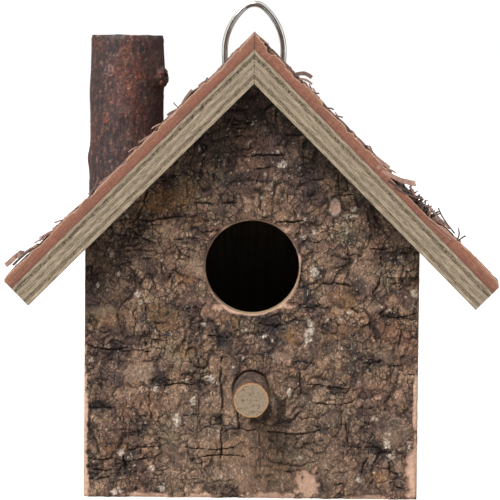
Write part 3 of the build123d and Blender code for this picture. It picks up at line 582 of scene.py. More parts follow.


# marks listed one by one on the front wall, in millimetres from the middle of its foot
wallMarks = dict(
    # half width, depth, and the points that a crack runs through
    cracks=[
        (0.45, 1.2, [(-41, 103), (-32.5, 104), (-21, 105)]), (0.3, 0.9, [(-42, 103), (-42.5, 99)]),
        (0.45, 1.2, [(-39.5, 114), (-40, 111), (-41.5, 107), (-42.5, 103.5), (-45.5, 102.5), (-46, 100)]),
        (0.35, 1.0, [(-29, 96), (-19.5, 97)]), (0.35, 1.0, [(-43.5, 98.5), (-38.5, 95.5), (-36, 94.5)]),
        (0.3, 0.9, [(-47.5, 92), (-36.5, 92)]), (0.35, 1.0, [(-51, 86), (-45, 87.5)]),
        (0.4, 1.1, [(-62, 86), (-59.5, 86), (-59.5, 82.5)]), (0.3, 0.8, [(-31, 84.5), (-26, 84.5)]),
        (0.8, 1.9, [(-39.5, 72.5), (-39, 67), (-39.5, 62), (-39.5, 57)]),
        (0.3, 0.8, [(-62, 53.5), (-59, 53)]),
        (0.42, 1.2, [(-62, 57.5), (-58, 55.5), (-53, 55), (-47.5, 54.5), (-38, 54.5)]),
        (0.4, 1.1, [(-32, 42), (-25.5, 42.5), (-19, 41.5)]),
        (0.35, 1.0, [(-62, 33.5), (-56, 33), (-50, 33.5)]),
        (0.42, 1.2, [(-11, 52.5), (-11.5, 44), (-10.5, 37), (-11, 30.5), (-10.6, 20), (-11.2, 11)]),
        (0.35, 1.0, [(-19.5, 60), (-15, 60.5), (-11, 60)]),
        (0.4, 1.1, [(-7.5, 139), (0, 139.5), (9, 139.5)]), (0.35, 1.0, [(12.5, 135), (19, 135.5)]),
        (0.38, 1.1, [(-4.5, 127.5), (3.5, 127.5), (14.5, 128)]), (0.35, 1.0, [(0.5, 122.5), (9, 123.5)]),
        (0.35, 0.9, [(19, 132), (18.5, 120)]), (0.45, 1.3, [(-21.5, 110), (-14, 109.5), (-6, 110)]),
        (0.3, 0.9, [(-26, 97), (-20, 97)]), (0.3, 0.9, [(-17, 99), (-12.5, 99.5)]),
        (0.4, 1.2, [(10, 103), (15.5, 103), (20, 104)]), (0.3, 0.9, [(16.5, 95.5), (23, 96)]),
        (0.42, 1.2, [(44, 93.5), (50, 93), (56, 92), (62, 92)]),
        (0.4, 1.1, [(37, 71), (41, 68.5), (46.5, 68), (54, 68), (62, 69.5)]),
        (0.42, 1.3, [(17.5, 81), (24.5, 80), (30.5, 80.5), (36.5, 79.5)]),
        (0.42, 1.2, [(47, 92), (48, 86.5), (47, 80), (45, 77)]),
        (0.4, 1.1, [(54.5, 67.5), (55.5, 62), (54, 54.5)]),
        (0.35, 1.0, [(38, 49.5), (46.5, 49), (56, 50)]), (0.4, 1.1, [(-60.5, 10), (-53, 10)]),
        (0.4, 1.1, [(-60.5, 14), (-54, 14), (-49, 14), (-46.5, 13), (-42.5, 14), (-38, 14.5)]),
        (0.35, 1.0, [(-61.5, 7), (-57, 6.5), (-53, 7.5)]),
        (0.7, 1.7, [(-47, 15.5), (-46.5, 11.5), (-47, 7.5)]),
        (0.35, 1.0, [(-45.5, 20), (-45.5, 17.5), (-42, 19), (-36, 19)]),
        (0.35, 1.0, [(42.5, 19.5), (48, 19), (49.5, 17)]), (0.45, 1.3, [(51.5, 14), (52, 10), (55, 9.5)]),
        (0.5, 1.4, [(55, 8), (56.5, 5)]), (0.35, 1.0, [(24.5, 35.5), (32, 35), (37.5, 36)]),
        (0.35, 1.0, [(18, 47), (18.5, 38)]), (0.35, 1.0, [(6.5, 25), (18, 24), (26, 25.5)]),
        (0.35, 0.9, [(-24, 19), (-14, 18), (-6, 19)]), (0.4, 1.1, [(35, 29.5), (36.5, 20.5)]),
        (0.35, 0.9, [(-34.5, 29), (-33.5, 18.5)]), (0.3, 0.8, [(11, 96), (11, 92.5)]),
        (0.3, 0.7, [(-18.9, 44), (-19.3, 34), (-18.6, 25)]),
        (0.28, 0.5, [(3.5, 33), (3.2, 24), (3.9, 8)]), (0.28, 0.5, [(9.8, 34), (10.4, 27), (9.4, 15)]),
        (0.35, 1.0, [(-16.5, 15.8), (-9, 16), (-2, 15.7)]), (0.35, 1.0, [(29, 112.5), (37.5, 113.5)]),
        (0.35, 1.0, [(35, 94.5), (36.5, 86)]),
    ],
    # x, z, half width, half height, strength
    soot=[
        (-54, 86, 7, 12.5, 0.55), (-40, 92.5, 5, 5, 0.6), (-34.5, 82.5, 3, 2, 0.8),
        (-26, 72.5, 6.5, 2.5, 0.8), (-40, 64.5, 2, 5, 0.6), (-34.5, 44.5, 3, 5, 0.9),
        (-52.5, 54.5, 6.5, 2, 0.9), (-55.5, 33.5, 4.5, 3, 0.9), (-11, 60.5, 3.5, 5, 1),
        (9.5, 61, 5, 4, 1), (-20, 41.5, 3.5, 3.5, 0.8), (-6.5, 118.5, 9.5, 2.5, 0.95),
        (3.5, 127.5, 4.5, 2, 0.8), (11, 134.5, 3.5, 3.5, 0.9), (-11.5, 108, 2, 4.5, 0.9),
        (39.5, 110, 3.5, 2, 0.8), (53, 90.5, 3.5, 3, 0.95), (20, 74.5, 3.5, 6, 0.95),
        (37.5, 97, 4.5, 3.5, 0.6), (0.5, 148.5, 6, 3.5, 0.6), (-46.5, 13, 5, 6, 0.8),
        (-34.5, 4, 4.5, 4.5, 0.6), (-14, 25, 9.5, 3.5, 0.5), (3.5, 47, 4.5, 3, 0.8),
        (36.5, 27.5, 7.5, 5, 0.6), (56, 7, 2.5, 3.5, 0.9), (50, 18.5, 6.5, 3.5, 0.5),
        (18, 39.5, 3.5, 6, 0.6), (29, 55, 8, 3, 0.6), (-15.5, 74, 4.5, 3, 0.5), (-57, 44, 3.5, 2, 0.5),
        (29, 21.5, 9, 3, 0.5), (14, 21.5, 5, 4.5, 0.5), (-24, 57, 3.5, 3, 0.5),
        (46.5, 36.5, 6.5, 3.5, 0.5), (-60, 74, 3, 8, 0.5), (-7.5, 55, 3.5, 4.5, 0.7),
    ],
    ochre=[
        (-32.5, 110, 8, 4.5, 0.85), (-24, 115, 4.5, 3, 0.6), (-24.5, 81, 3.5, 2, 0.8),
        (-32.5, 67, 6, 4.5, 0.7), (-24.5, 55, 4.5, 3, 0.7), (35, 74, 6, 4.5, 0.6),
        (13.5, 60.5, 3.5, 2.5, 0.8), (48, 8.5, 3.5, 2, 0.8), (-49.5, 18.5, 6, 3, 0.4),
        (-8, 17.5, 11, 6, 0.45), (6.5, 10, 9, 4.5, 0.45), (-19.5, 103.5, 3.5, 2, 0.4),
        (33, 62.5, 5, 3.5, 0.4), (-54, 66.5, 7.5, 3.5, 0.5), (-8, 66.5, 3.5, 2, 0.5),
        (51.5, 62.5, 3.5, 6, 0.4),
    ],
    # dark knots in the bark with fine cracks running out of them: x, z, size
    stars=[
        (-11.4, 59.8, 3.5), (-32.7, 43, 3), (-18.9, 43, 3.2), (-54.4, 33.6, 3), (-42.5, 24.3, 3.8),
        (-47, 11.2, 4.5), (-10.3, 3.7, 3), (-49.6, 55.3, 3), (19.1, 51.2, 3.5), (31.5, 41, 3),
        (26.6, 26.3, 3.5), (11, 28.2, 2.5), (38.3, 19.4, 4), (49.5, 17.6, 3.5), (46.5, 51.2, 3),
        (51.4, 68.8, 3), (7.3, 63.7, 4), (-28, 105, 3.2), (-5, 129.7, 3), (-2.8, 118.5, 3.5),
        (54, 92.3, 3), (-25, 70, 3),
    ],
    # smooth plates where a scale has come away
    plates=[
        (-42, 47, 6, 3.5, 0.9), (45, 15, 2, 2, 0.9), (51, 13, 1.5, 2, 0.9), (54.5, 12.5, 1.5, 2.5, 0.8),
        (11, 53, 3.5, 2, 0.8), (45, 72, 3, 2, 0.6), (-55.5, 69.5, 6.5, 2, 0.6), (-4.5, 10, 13.5, 8, 0.5),
        (29, 10, 10.5, 5, 0.4), (50, 55, 7.5, 3.5, 0.4), (-19.5, 87, 5, 4.5, 0.45),
        (53.5, 25, 6, 6, 0.45), (-8, 36.5, 5, 5, 0.35), (-29, 52, 5, 2.5, 0.4), (-9, 93, 6, 10, 0.3),
        (40, 84, 6, 5, 0.35),
    ],
    # small pale chips and lichen
    chips=[
        (10.5, 124.5, 1.7, 1.1), (9, 129, 0.7, 0.7), (-0.5, 139.5, 0.7, 0.6), (-27.5, 29, 1.7, 1.7),
        (-35.5, 41, 0.7, 1.5), (38, 108, 1.5, 0.9), (35, 100, 0.7, 1.1), (31, 102.5, 0.7, 0.7),
        (33.5, 102.5, 0.6, 0.7), (19.5, 104, 0.7, 0.5), (19, 97.5, 0.6, 1.1), (23.5, 84.5, 2.2, 2.2),
        (-18.5, 64.5, 1.3, 1), (-15.5, 44, 1.9, 2), (-21.5, 36.5, 1, 1.2), (60, 77, 1.3, 1.5),
        (51.5, 70.5, 0.8, 0.7), (36, 70, 0.7, 0.6), (34, 56, 0.7, 0.7), (5, 60.5, 0.7, 0.7),
        (7.5, 59, 0.7, 0.6), (21, 62.5, 1.9, 3.4), (46, 29.5, 1.3, 1), (14, 40, 0.8, 1.3),
        (-46.5, 105, 0.7, 0.8), (-52, 90.5, 0.6, 0.7), (-49.5, 84, 0.6, 1.9), (-57, 79, 0.5, 1),
        (-42, 75.5, 1, 1), (-41, 72.5, 0.7, 0.7), (-32.5, 88.5, 1.5, 0.6), (-36.5, 10.5, 1.3, 1.3),
        (-33.5, 3.5, 1.7, 1), (-47.5, 17, 2.2, 1), (-50, 2, 2.2, 1.1), (36.5, 105.5, 1.9, 0.6),
        (-41, 47, 0.7, 0.7), (-24, 44, 0.7, 0.7), (-59.5, 51.5, 0.7, 0.7), (-20, 130.5, 0.5, 1.3),
        (23, 99.5, 0.7, 0.6), (50.5, 21, 1.3, 2.2), (52, 16, 1.5, 0.9), (59.5, 17, 1.1, 4.5),
        (47, 0.5, 2.2, 1.1), (18, 15.5, 1.1, 0.7), (40.5, 6.5, 1.1, 1.1), (-2, 62.5, 1.1, 0.7),
    ],
    # outer bark gone, smooth inner bark shows
    exposed=[
        (21.4, 5.6, 4.4, 6.4, 1), (7.5, 0.8, 10, 1.9, 1), (60.2, 10, 2.6, 11, 1),
        (-61.5, 25, 0.9, 24.5, 1), (61.3, 34, 1.2, 14, 1), (46.8, 38.6, 1.6, 1.1, 0.55),
        (54.5, 40, 1.6, 2.2, 0.3), (-61.2, 5, 1.1, 6, 1), (-18, 0.6, 6, 1.3, 1), (44, 0.6, 8, 1.2, 1),
        (-12.5, 71.5, 3.0, 1.1, 0.6), (12.5, 72.2, 3.6, 1.0, 0.6), (11, 100.5, 3, 1.3, 0.6),
        (-39, 0.5, 8.2, 1.5, 1), (61.5, 14.5, 0.9, 5, 1),
    ],
)
for i, (half, depth, points) in enumerate(wallMarks["cracks"]):
    # each crack also gets the box that it lies in, so that most places are passed over quickly
    reach = 1.5 * half
    ends = [edge for axis in zip(*points) for edge in (min(axis) - reach, max(axis) + reach)]
    wallMarks["cracks"][i] = (half, depth, points, ends)
# a bare oval with a low broken rim, where a twig was
twigScar = dict(x=30.5, z=108.5, wide=2.0, tall=3.0)


def inBlob(u, v, blob, seed, rough=0.45):
    # 1 inside an uneven oval, 0 outside
    x, z, wide, tall = blob[:4]
    if abs(u - x) > wide * 1.8 or abs(v - z) > tall * 1.8:
        return 0.0
    reach = math.hypot((u - x) / wide, (v - z) / tall)
    reach += rough * wave(u, v, 2.6, seed) + 0.5 * rough * wave(u, v, 0.9, seed + 1)
    return 1 - ease(0.75, 1.1, reach)


def inCrack(u, v, crack):
    # 1 at the bottom of a crack that runs through the given points, 0 beyond its lips
    half, depth, points, (left, right, low, high) = crack
    if not (left < u < right and low < v < high):
        return 0.0
    nearest = 9.0
    for (x0, z0), (x1, z1) in zip(points, points[1:]):
        alongX, alongZ = x1 - x0, z1 - z0
        share = ((u - x0) * alongX + (v - z0) * alongZ) / (alongX * alongX + alongZ * alongZ)
        share = min(1.0, max(0.0, share))
        nearest = min(nearest, math.hypot(u - x0 - share * alongX, v - z0 - share * alongZ))
    half *= 0.62 + 0.9 * wave(u, v, 3.1, 57)
    nearest += 0.4 * ease(-0.05, -0.5, wave(u, v, 9, 58))
    return 1 - ease(0.3 * half, 1.2 * half + 0.12, nearest)


def inStar(u, v, star, seed):
    # how sooty and how cracked a place is beside a dark knot: thin cracks run outwards, mostly level
    x, z, size = star
    if abs(u - x) > 3.2 * size or abs(v - z) > 2.4 * size:
        return 0.0, 0.0
    awayU, awayV = (u - x) / 1.35, v - z
    reach = math.hypot(awayU, awayV)
    angle = math.atan2(awayV, awayU) + 0.9 * wave(u, v, 2.0, seed) + seed
    ray = min(abs(math.sin(2.5 * angle)) / 2.5, abs(math.sin(3.5 * angle + 1)) / 3.5 + 0.05) * reach
    fade = ease(2.3 * size, 0.6 * size, reach + 0.8 * size * wave(u, v, 2.2, seed + 4))
    dark = ease(1.25 * size, 0.15 * size, reach + 0.6 * size * wave(u, v, 1.5, seed + 8))
    level = 0.25 + 0.75 * abs(awayU) / (reach + 0.01)
    return 0.85 * dark, fade * level * (1 - ease(0.10, 0.36, ray + 0.12 * wave(u, v, 1.0, seed + 9)))


def steps(slow, rise):
    # cuts a slow height into flat layers: the stepped height, and 1 along the foot of each step, which is painted
    # as shade
    part = slow - math.floor(slow)
    return math.floor(slow) + ease(0.5 - rise, 0.5, part), math.exp(-((part - 0.5 + rise) / 0.05) ** 2)


def pushAbout(u, v, seed, *waves):
    # moves a place by waves: strength and size in millimetres, and what to add to the seed both ways
    movedU, movedV = u, v
    for strength, size, addU, addV in waves:
        movedU += strength * wave(u, v, size, seed + addU)
        movedV += strength * wave(u, v, size, seed + addV)
    return movedU, movedV


def furrowedRelief(u, v, seed, marks=None):
    # height in millimetres and the painted masks at a place on a wall slab
    warpU, warpV = pushAbout(u, v, seed, (1.8, 10, 0, 9), (0.9, 3.0, 5, 13), (0.3, 1.2, 6, 14))
    broad, footBroad = steps(2.1 * cloudy(warpU, warpV * 0.7, 13, seed, 3) + 10, 0.14)
    scales, footScales = steps(2.4 * cloudy(warpU, warpV * 0.6, 4.6, seed + 20, 2) + 10, 0.22)
    rough = ease(-0.35, 0.3, wave(u, v, 15, seed + 24))
    upright = abs(wave(warpU, warpV * 0.38, 6.2, seed + 30))
    across = abs(wave(warpU * 0.30, warpV, 5.2, seed + 33))
    fissure = (1 - ease(0.015, 0.085, upright)) * ease(-0.05, 0.3, wave(u, v, 13, seed + 31))
    split = (1 - ease(0.01, 0.06, across)) * ease(0.05, 0.32, wave(u * 0.6, v, 8, seed + 34))
    border, pick = cells(warpU, warpV * 0.8, 5.2, 5.2, seed + 100)
    net = (1 - ease(0.01, 0.075, border)) * ease(-0.25, 0.25, wave(u, v, 8, seed + 101))
    ridges = abs(wave(u, v * 0.5, 1.9, seed + 40)) + 0.6 * abs(wave(u, v * 0.6, 1.0, seed + 41))
    height = 0.30 * cloudy(u, v, 28, seed + 50, 2) + 0.50 * (broad - 10) + 0.30 * (scales - 10)
    height += (0.25 + 0.75 * rough) * (0.55 * (ridges - 0.42) + 0.20 * wave(u, v, 0.85, seed + 60))
    height += 0.5 * (pick - 0.5)
    height -= 0.75 * fissure + 0.6 * split + 0.45 * net
    # the crack mask also takes painted shade along the foot of each step, where the step shades its foot
    crack = max(0.8 * fissure, 0.85 * split, 0.55 * footBroad, 0.40 * footScales * rough, 0.8 * net)
    soot = 0.5 * ease(0.22, 0.55, cloudy(u, v, 9, seed + 70))
    pale = 0.7 * ease(0.50, 0.66, wave(u, v * 0.7, 1.25, seed + 80))
    pale *= ease(-0.15, 0.35, wave(u, v, 12, seed + 81))
    tone = 0.5 + 0.34 * math.sin(2.4 * broad + seed) + 0.22 * math.sin(2.1 * scales)
    tone += 0.5 * wave(u, v, 20, seed + 84)
    tone += 0.55 * (pick - 0.5)
    inner = ochre = plate = 0.0
    if marks:
        # the listed marks, laid over the noise from broad stains to fine cracks
        for i, blob in enumerate(marks["soot"]):
            dark = blob[4] * inBlob(u, v, blob, seed + i, 1.0)
            soot = max(soot, dark * (0.5 + 0.5 * ease(-0.35, 0.25, wave(u, v, 1.3, seed + 5))))
        for i, star in enumerate(marks["stars"]):
            dark, line = inStar(u, v, star, seed + 1.7 * i)
            if dark > 0 or line > 0:
                soot = max(soot, dark * (0.55 + 0.45 * ease(-0.3, 0.2, wave(u, v, 0.8, seed))))
                crack = max(crack, 0.9 * line)
                height -= 0.7 * line + 0.3 * dark
        for i, blob in enumerate(marks["ochre"]):
            ochre = max(ochre, blob[4] * inBlob(u, v, blob, seed + i, 1.0))
        for i, blob in enumerate(marks["plates"]):
            bare = blob[4] * inBlob(u, v, blob, seed + i, 0.5)
            if bare > 0:
                plate = max(plate, bare)
                height = height * (1 - 0.65 * bare) - 0.15 * bare
                soot *= 1 - 0.8 * bare
                crack *= 1 - 0.7 * bare
        bentU, bentV = pushAbout(u, v, seed, (0.55, 4.0, 90, 92), (0.25, 1.2, 91, 93))
        for mark in marks["cracks"]:
            cut = inCrack(bentU, bentV, mark)
            if cut > 0:
                height -= mark[1] * cut * (1 - 0.5 * crack)
                crack = max(crack, min(0.95, 0.95 * mark[1]) * cut)
        for i, blob in enumerate(marks["chips"]):
            chip = inBlob(u, v, blob, seed + i, 1.3) * ease(-0.45, 0.15, wave(u, v, 0.8, seed + 97))
            pale = max(pale, chip)
            height += 0.3 * chip
        for i, blob in enumerate(marks["exposed"]):
            bare = inBlob(u, v, blob, seed + i, 0.6)
            if bare > 0:
                inner = max(inner, blob[4] * bare * (0.9 + 0.3 * wave(u, v, 1.1, seed + 98)))
                height = height * (1 - 0.8 * bare) - 0.7 * bare
                crack *= 1 - bare
                soot *= 1 - bare
                pale *= 1 - bare
        scar = math.hypot((u - twigScar["x"]) / twigScar["wide"], (v - twigScar["z"]) / twigScar["tall"])
        if scar < 1.6:
            scar += 0.16 * wave(u, v, 1.2, seed + 95)
            rim = math.exp(-((scar - 1.0) / 0.2) ** 2)
            rim *= 0.35 + 0.65 * ease(-0.3, 0.2, wave(u, v, 1.9, seed + 96))
            height = height * ease(0.9, 1.5, scar) + 0.5 * rim - 0.15 * ease(0.8, 0.3, scar)
            pale = max(pale * ease(0.9, 1.3, scar), 0.4 * rim)
            crack *= ease(0.9, 1.3, scar)
            soot *= ease(0.8, 1.3, scar)
            inner = max(inner, 0.62 * ease(1.1, 0.8, scar) * (0.9 + 0.4 * wave(u, v, 1.0, seed + 98)))
    soot *= 1 - 0.8 * pale
    height = max(-2.3, min(0.75, height))
    masks = dict(crack=crack, soot=soot, inner=inner, ochre=ochre, pale=pale, plate=plate, tone=tone)
    return height, {name: min(1.0, max(0.0, value)) for name, value in masks.items()}


wallBark = dict(step=0.41, meanDepth=0.30, edgeBite=1.3, seed=3.0)


def barkGrid(width, height, step):
    bm = bmesh.new()
    bmesh.ops.create_grid(bm, x_segments=round(width / step), y_segments=round(height / step), size=0.5)
    bmesh.ops.scale(bm, vec=(width, height, 1), verts=bm.verts)
    bmesh.ops.translate(bm, vec=(0, height / 2, 0), verts=bm.verts)
    return bm


def makeFrontBark():
    look = wallBark
    bm = barkGrid(wallHigh.x - wallLow.x, peak, look["step"])
    for side in (-1, 1):
        cutAway(bm, (0, peak, 0), (side, 1, 0), dist=0.01, clear_outer=True)
    punchHole(bm, (entry["x"], entry["z"]), entry["radius"], look["step"])
    punchHole(bm, (perchAt["x"], perchAt["z"]), perchAt["radius"] + 0.8, look["step"])
    layers = barkLayers(bm)
    half = wallHigh.x
    for v in bm.verts:
        u, z = v.co.x, v.co.y
        height, masks = furrowedRelief(u, z, look["seed"], wallMarks)
        # the edges of the slab and the drilled hole are chipped back to the inner bark
        edge = half - abs(u)
        rim = math.hypot(u - entry["x"], z - entry["z"]) - entry["radius"]
        angle = math.atan2(z - entry["z"], u)
        bite = look["edgeBite"] * ease(-0.1, 0.55, wave(z, u * 0.2, 6.5, 91)) * ease(120, 20, z)
        holeBite = 0.25 + 1.2 * ease(-0.05, 0.6, wave(math.cos(angle) * 8, math.sin(angle) * 8, 4.2, 93))
        bare = max(1 - ease(0.6 * bite, bite + 0.01, edge), 1 - ease(0.5 * holeBite, holeBite, rim))
        height = height * (1 - bare) - 0.9 * bare
        for name in ("crack", "soot", "pale", "ochre", "plate"):
            masks[name] *= 1 - bare
        # painted shade: the bark is painted darker, through the tone and soot masks, high under the roof where the
        # overhang's shadow falls; round and below the perch it is lighter
        high = ease(100, 138, z)
        middle = ease(62, 25, z) * ease(42, 20, abs(u))
        masks["tone"] = max(0.0, min(1.0, masks["tone"] - 0.5 * high + 0.7 * middle))
        deepen(masks, inner=0.9 * bare, plate=0.38 * middle * (1 - bare),
               soot=0.45 * high * ease(-0.5, 0.3, wave(u, z, 3, 77)))
        height -= 0.5 * ease(0.9, 0.0, min(edge, rim, z))
        v.co.z = height - look["meanDepth"]
        paint(v, layers, **masks)
    closeBack(bm, layers, wallHigh.y - wallLow.y, (0.3, 0.65, 1.0), 0.18, 12)
    placeSlab(bm, (1, 0, 0), (0, 0, 1), (0, -1, 0), (0, wallLow.y, 0))
    return finishMesh("frontBarkSlab", bm, "house", [furrowedBark], ["front_bark"])


def makeSideBark(sign):
    look = wallBark
    width, tall = sideHigh.y - sideLow.y, peak - wallHigh.x
    bm = barkGrid(width, tall, look["step"] * 1.3)
    layers = barkLayers(bm)
    for v in bm.verts:
        u, z = v.co.x, v.co.y
        height, masks = furrowedRelief(u, z, 40 + 20 * sign)
        v.co.z = height - look["meanDepth"] - 0.5 * ease(0.9, 0.0, z)
        paint(v, layers, **masks)
    closeBack(bm, layers, sideHigh.x - sideLow.x, (0.5, 1.0), 0.1, 16 + 2 * sign)
    middle = (sideLow.y + sideHigh.y) / 2
    placeSlab(bm, (0, sign, 0), (0, 0, 1), (sign, 0, 0), (sign * wallHigh.x, middle, 0))
    side = sideNames[sign]
    return finishMesh(side + "BarkSlab", bm, "house", [furrowedBark], [side + "_bark"])


makeFrontBark()
for sign in sideNames:
    makeSideBark(sign)


# the ply boards of the roof, with sawn edges
roofPly = dict(step=0.42, rows=28, relief=0.14)


def makeRoofBoard(sign):
    # the board's front outline as a grid: columns down the slope, rows through the plies
    bm = bmesh.new()
    columns = round(rafter / roofPly["step"])
    bmesh.ops.create_grid(bm, x_segments=columns, y_segments=roofPly["rows"], size=0.5)
    for v in bm.verts:
        share, above = v.co.x + 0.5, (v.co.y + 0.5) * plyThick
        along = -above + share * (rafter + above)
        x = along * cosSlope + above * cosSlope
        v.co = (sign * x, roofLow.y, peak - along * cosSlope + above * cosSlope)
    gap = bm.verts.layers.float.new("crack")
    fronts = bm.verts[:]
    grown = bmesh.ops.extrude_face_region(bm, geom=bm.faces[:], use_keep_orig=True)["geom"]
    backs = [g for g in grown if isinstance(g, bmesh.types.BMVert)]
    bmesh.ops.translate(bm, vec=(0, roofHigh.y - roofLow.y, 0), verts=backs)
    for verts, inward, seed in ((fronts, 1, 5 + sign), (backs, -1, 15 + sign)):
        for v in verts:
            above = (abs(v.co.x) + v.co.z - peak) * cosSlope
            along = (abs(v.co.x) - v.co.z + peak) * cosSlope
            layer = min(plies - 1, int(above / plyThick * plies))
            endGrain = layer % 2
            torn = 0.10 * cloudy(along, above * 9, 6, seed, 3)
            sink = roofPly["relief"] * endGrain + torn
            # short gaps in the core plies, where a veneer doesn't quite meet the next
            hollow = 0.0
            if layer in (1, 5):
                rare = (0.44 if layer == 1 else 0.20) + 0.25 * wave(along, 4.0, 17, seed + 6)
                hollow = 0.8 * ease(rare, rare + 0.2, wave(along, above * 1.6, 0.95, seed + 2))
            inLayer = above / plyThick * plies - layer
            hollow *= ease(0.0, 0.35, inLayer) * ease(1.0, 0.65, inLayer)
            v.co.y += inward * (max(0, sink) + 0.35 * hollow)
            v[gap] = hollow
    bmesh.ops.recalc_face_normals(bm, faces=bm.faces)
    side = sideNames[sign]
    replaced = [side + "_roof_board"]
    return finishMesh(side + "RoofPly", bm, "house", [sawnPlyEdge], replaced, sharp=35)


# the scaly bark slabs on the roof
roofBark = dict(step=0.62, meanDepth=0.35, seed=120.0, eaveRound={1: 2.2, -1: 0.6})


def scalyRelief(u, v, seed):
    # loose scales laid down the slope: height in millimetres and the painted masks
    warpU = u + 2.0 * wave(u, v, 9, seed) + 0.6 * wave(u, v, 2.5, seed + 1)
    warpV = v + 3.0 * wave(u, v, 12, seed + 2) + 0.8 * wave(u, v, 3, seed + 3)
    border, scale = cells(warpU, warpV, 8.0, 19.0, seed)
    smallBorder, small = cells(warpU + 3, warpV, 3.4, 7.5, seed + 7)
    tilt = ((warpV / 17.0) % 1.0 - 0.5) * 0.3
    open = ease(-0.4, 0.25, wave(u, v, 11, seed + 21))
    crack = (0.25 + 0.75 * open) * (1 - ease(0.015, 0.05 + 0.06 * open, border))
    crack = max(crack, 0.55 * (1 - open) * (1 - ease(0.01, 0.08, smallBorder)))
    height = 0.4 * cloudy(u, v, 30, seed + 11, 2) + 0.8 * (scale - 0.5) + tilt + 0.35 * (small - 0.5)
    height += 0.14 * abs(wave(u, v * 0.3, 1.5, seed + 13)) + 0.1 * wave(u, v, 0.9, seed + 14) - 0.75 * crack
    pale = 0.8 * ease(0.25, 0.5, wave(u, v, 6, seed + 15)) * ease(0.5, 0.8, small)
    soot = 0.6 * ease(0.3, 0.6, cloudy(u, v, 12, seed + 16))
    return height, dict(crack=0.85 * crack, soot=soot, pale=pale, inner=0.0, ochre=0.0)


def makeRoofBark(sign):
    look = roofBark
    width = barkHigh.y - barkLow.y
    length = rafter + plyThick + barkThick         # eave to the mitre, on the outer face
    bm = barkGrid(width, length, look["step"])
    layers = barkLayers(bm)
    front = -sign                                  # local side where the house front is
    for v in bm.verts:
        u, along = v.co.x, v.co.y
        height, masks = scalyRelief(u, along, look["seed"] + 30 * sign)
        fromFront = abs(u - front * width / 2)
        worn = ease(3.0, 0.0, min(along, width / 2 - abs(u)))
        height -= 0.25 * worn * (1 + wave(u, along, 4, 8))
        down = length - along
        if sign > 0:
            # a long scale has torn off beside the front edge, and the bark swells towards the eave
            torn = ease(69, 73, down) * ease(100, 94, down) * ease(15, 6, fromFront)
            height = height * (1 - 0.8 * torn) - 1.7 * torn
            height += 0.7 * ease(96, 108, down) * ease(16, 6, fromFront)
            nick = ease(7.5, 8.5, down) * ease(11.5, 10.5, down) * ease(2.6, 1.6, fromFront)
            height -= 1.1 * nick
            deepen(masks, inner=0.6 * torn, crack=nick)
        height -= look["eaveRound"][sign] * (1 - math.sqrt(1 - ease(2.6, 0.0, along) ** 2))
        v.co.z = height - look["meanDepth"]
        # painted highlight: pale along the front edge, where the edge catches the light; along the eave it is pale
        # in patches
        deepen(masks, pale=max(0.7 * ease(3.0, 0.5, along) * ease(-0.2, 0.3, wave(u, along, 1.4, 18)),
                               0.9 * ease(0.7, 0.1, fromFront)))
        paint(v, layers, **masks)
    closeBack(bm, layers, barkThick, (0.12, 0.3, 0.5, 0.7, 0.85, 1.0), 0.1, 31)
    out = Vector((sign * cosSlope, 0, cosSlope))
    up = Vector((-sign * cosSlope, 0, cosSlope))
    right = up.cross(out)
    eave = Vector((sign * length * cosSlope, (barkLow.y + barkHigh.y) / 2,
                   peak + (plyThick + barkThick - rafter) * cosSlope))
    placeSlab(bm, right, up, out, eave)
    for v in bm.verts:                             # the mitre at the ridge stays a plane
        if sign * v.co.x < 0.01:
            v.co -= up * (0.01 - sign * v.co.x) / cosSlope
    for f in bm.faces:
        if abs(f.normal.y) > 0.75:
            f.material_index = 1
    side = sideNames[sign]
    replaced = [side + "_roof_bark"]
    return finishMesh(side + "RoofBarkSlab", bm, "house", [scalyBark, sawnBark], replaced)


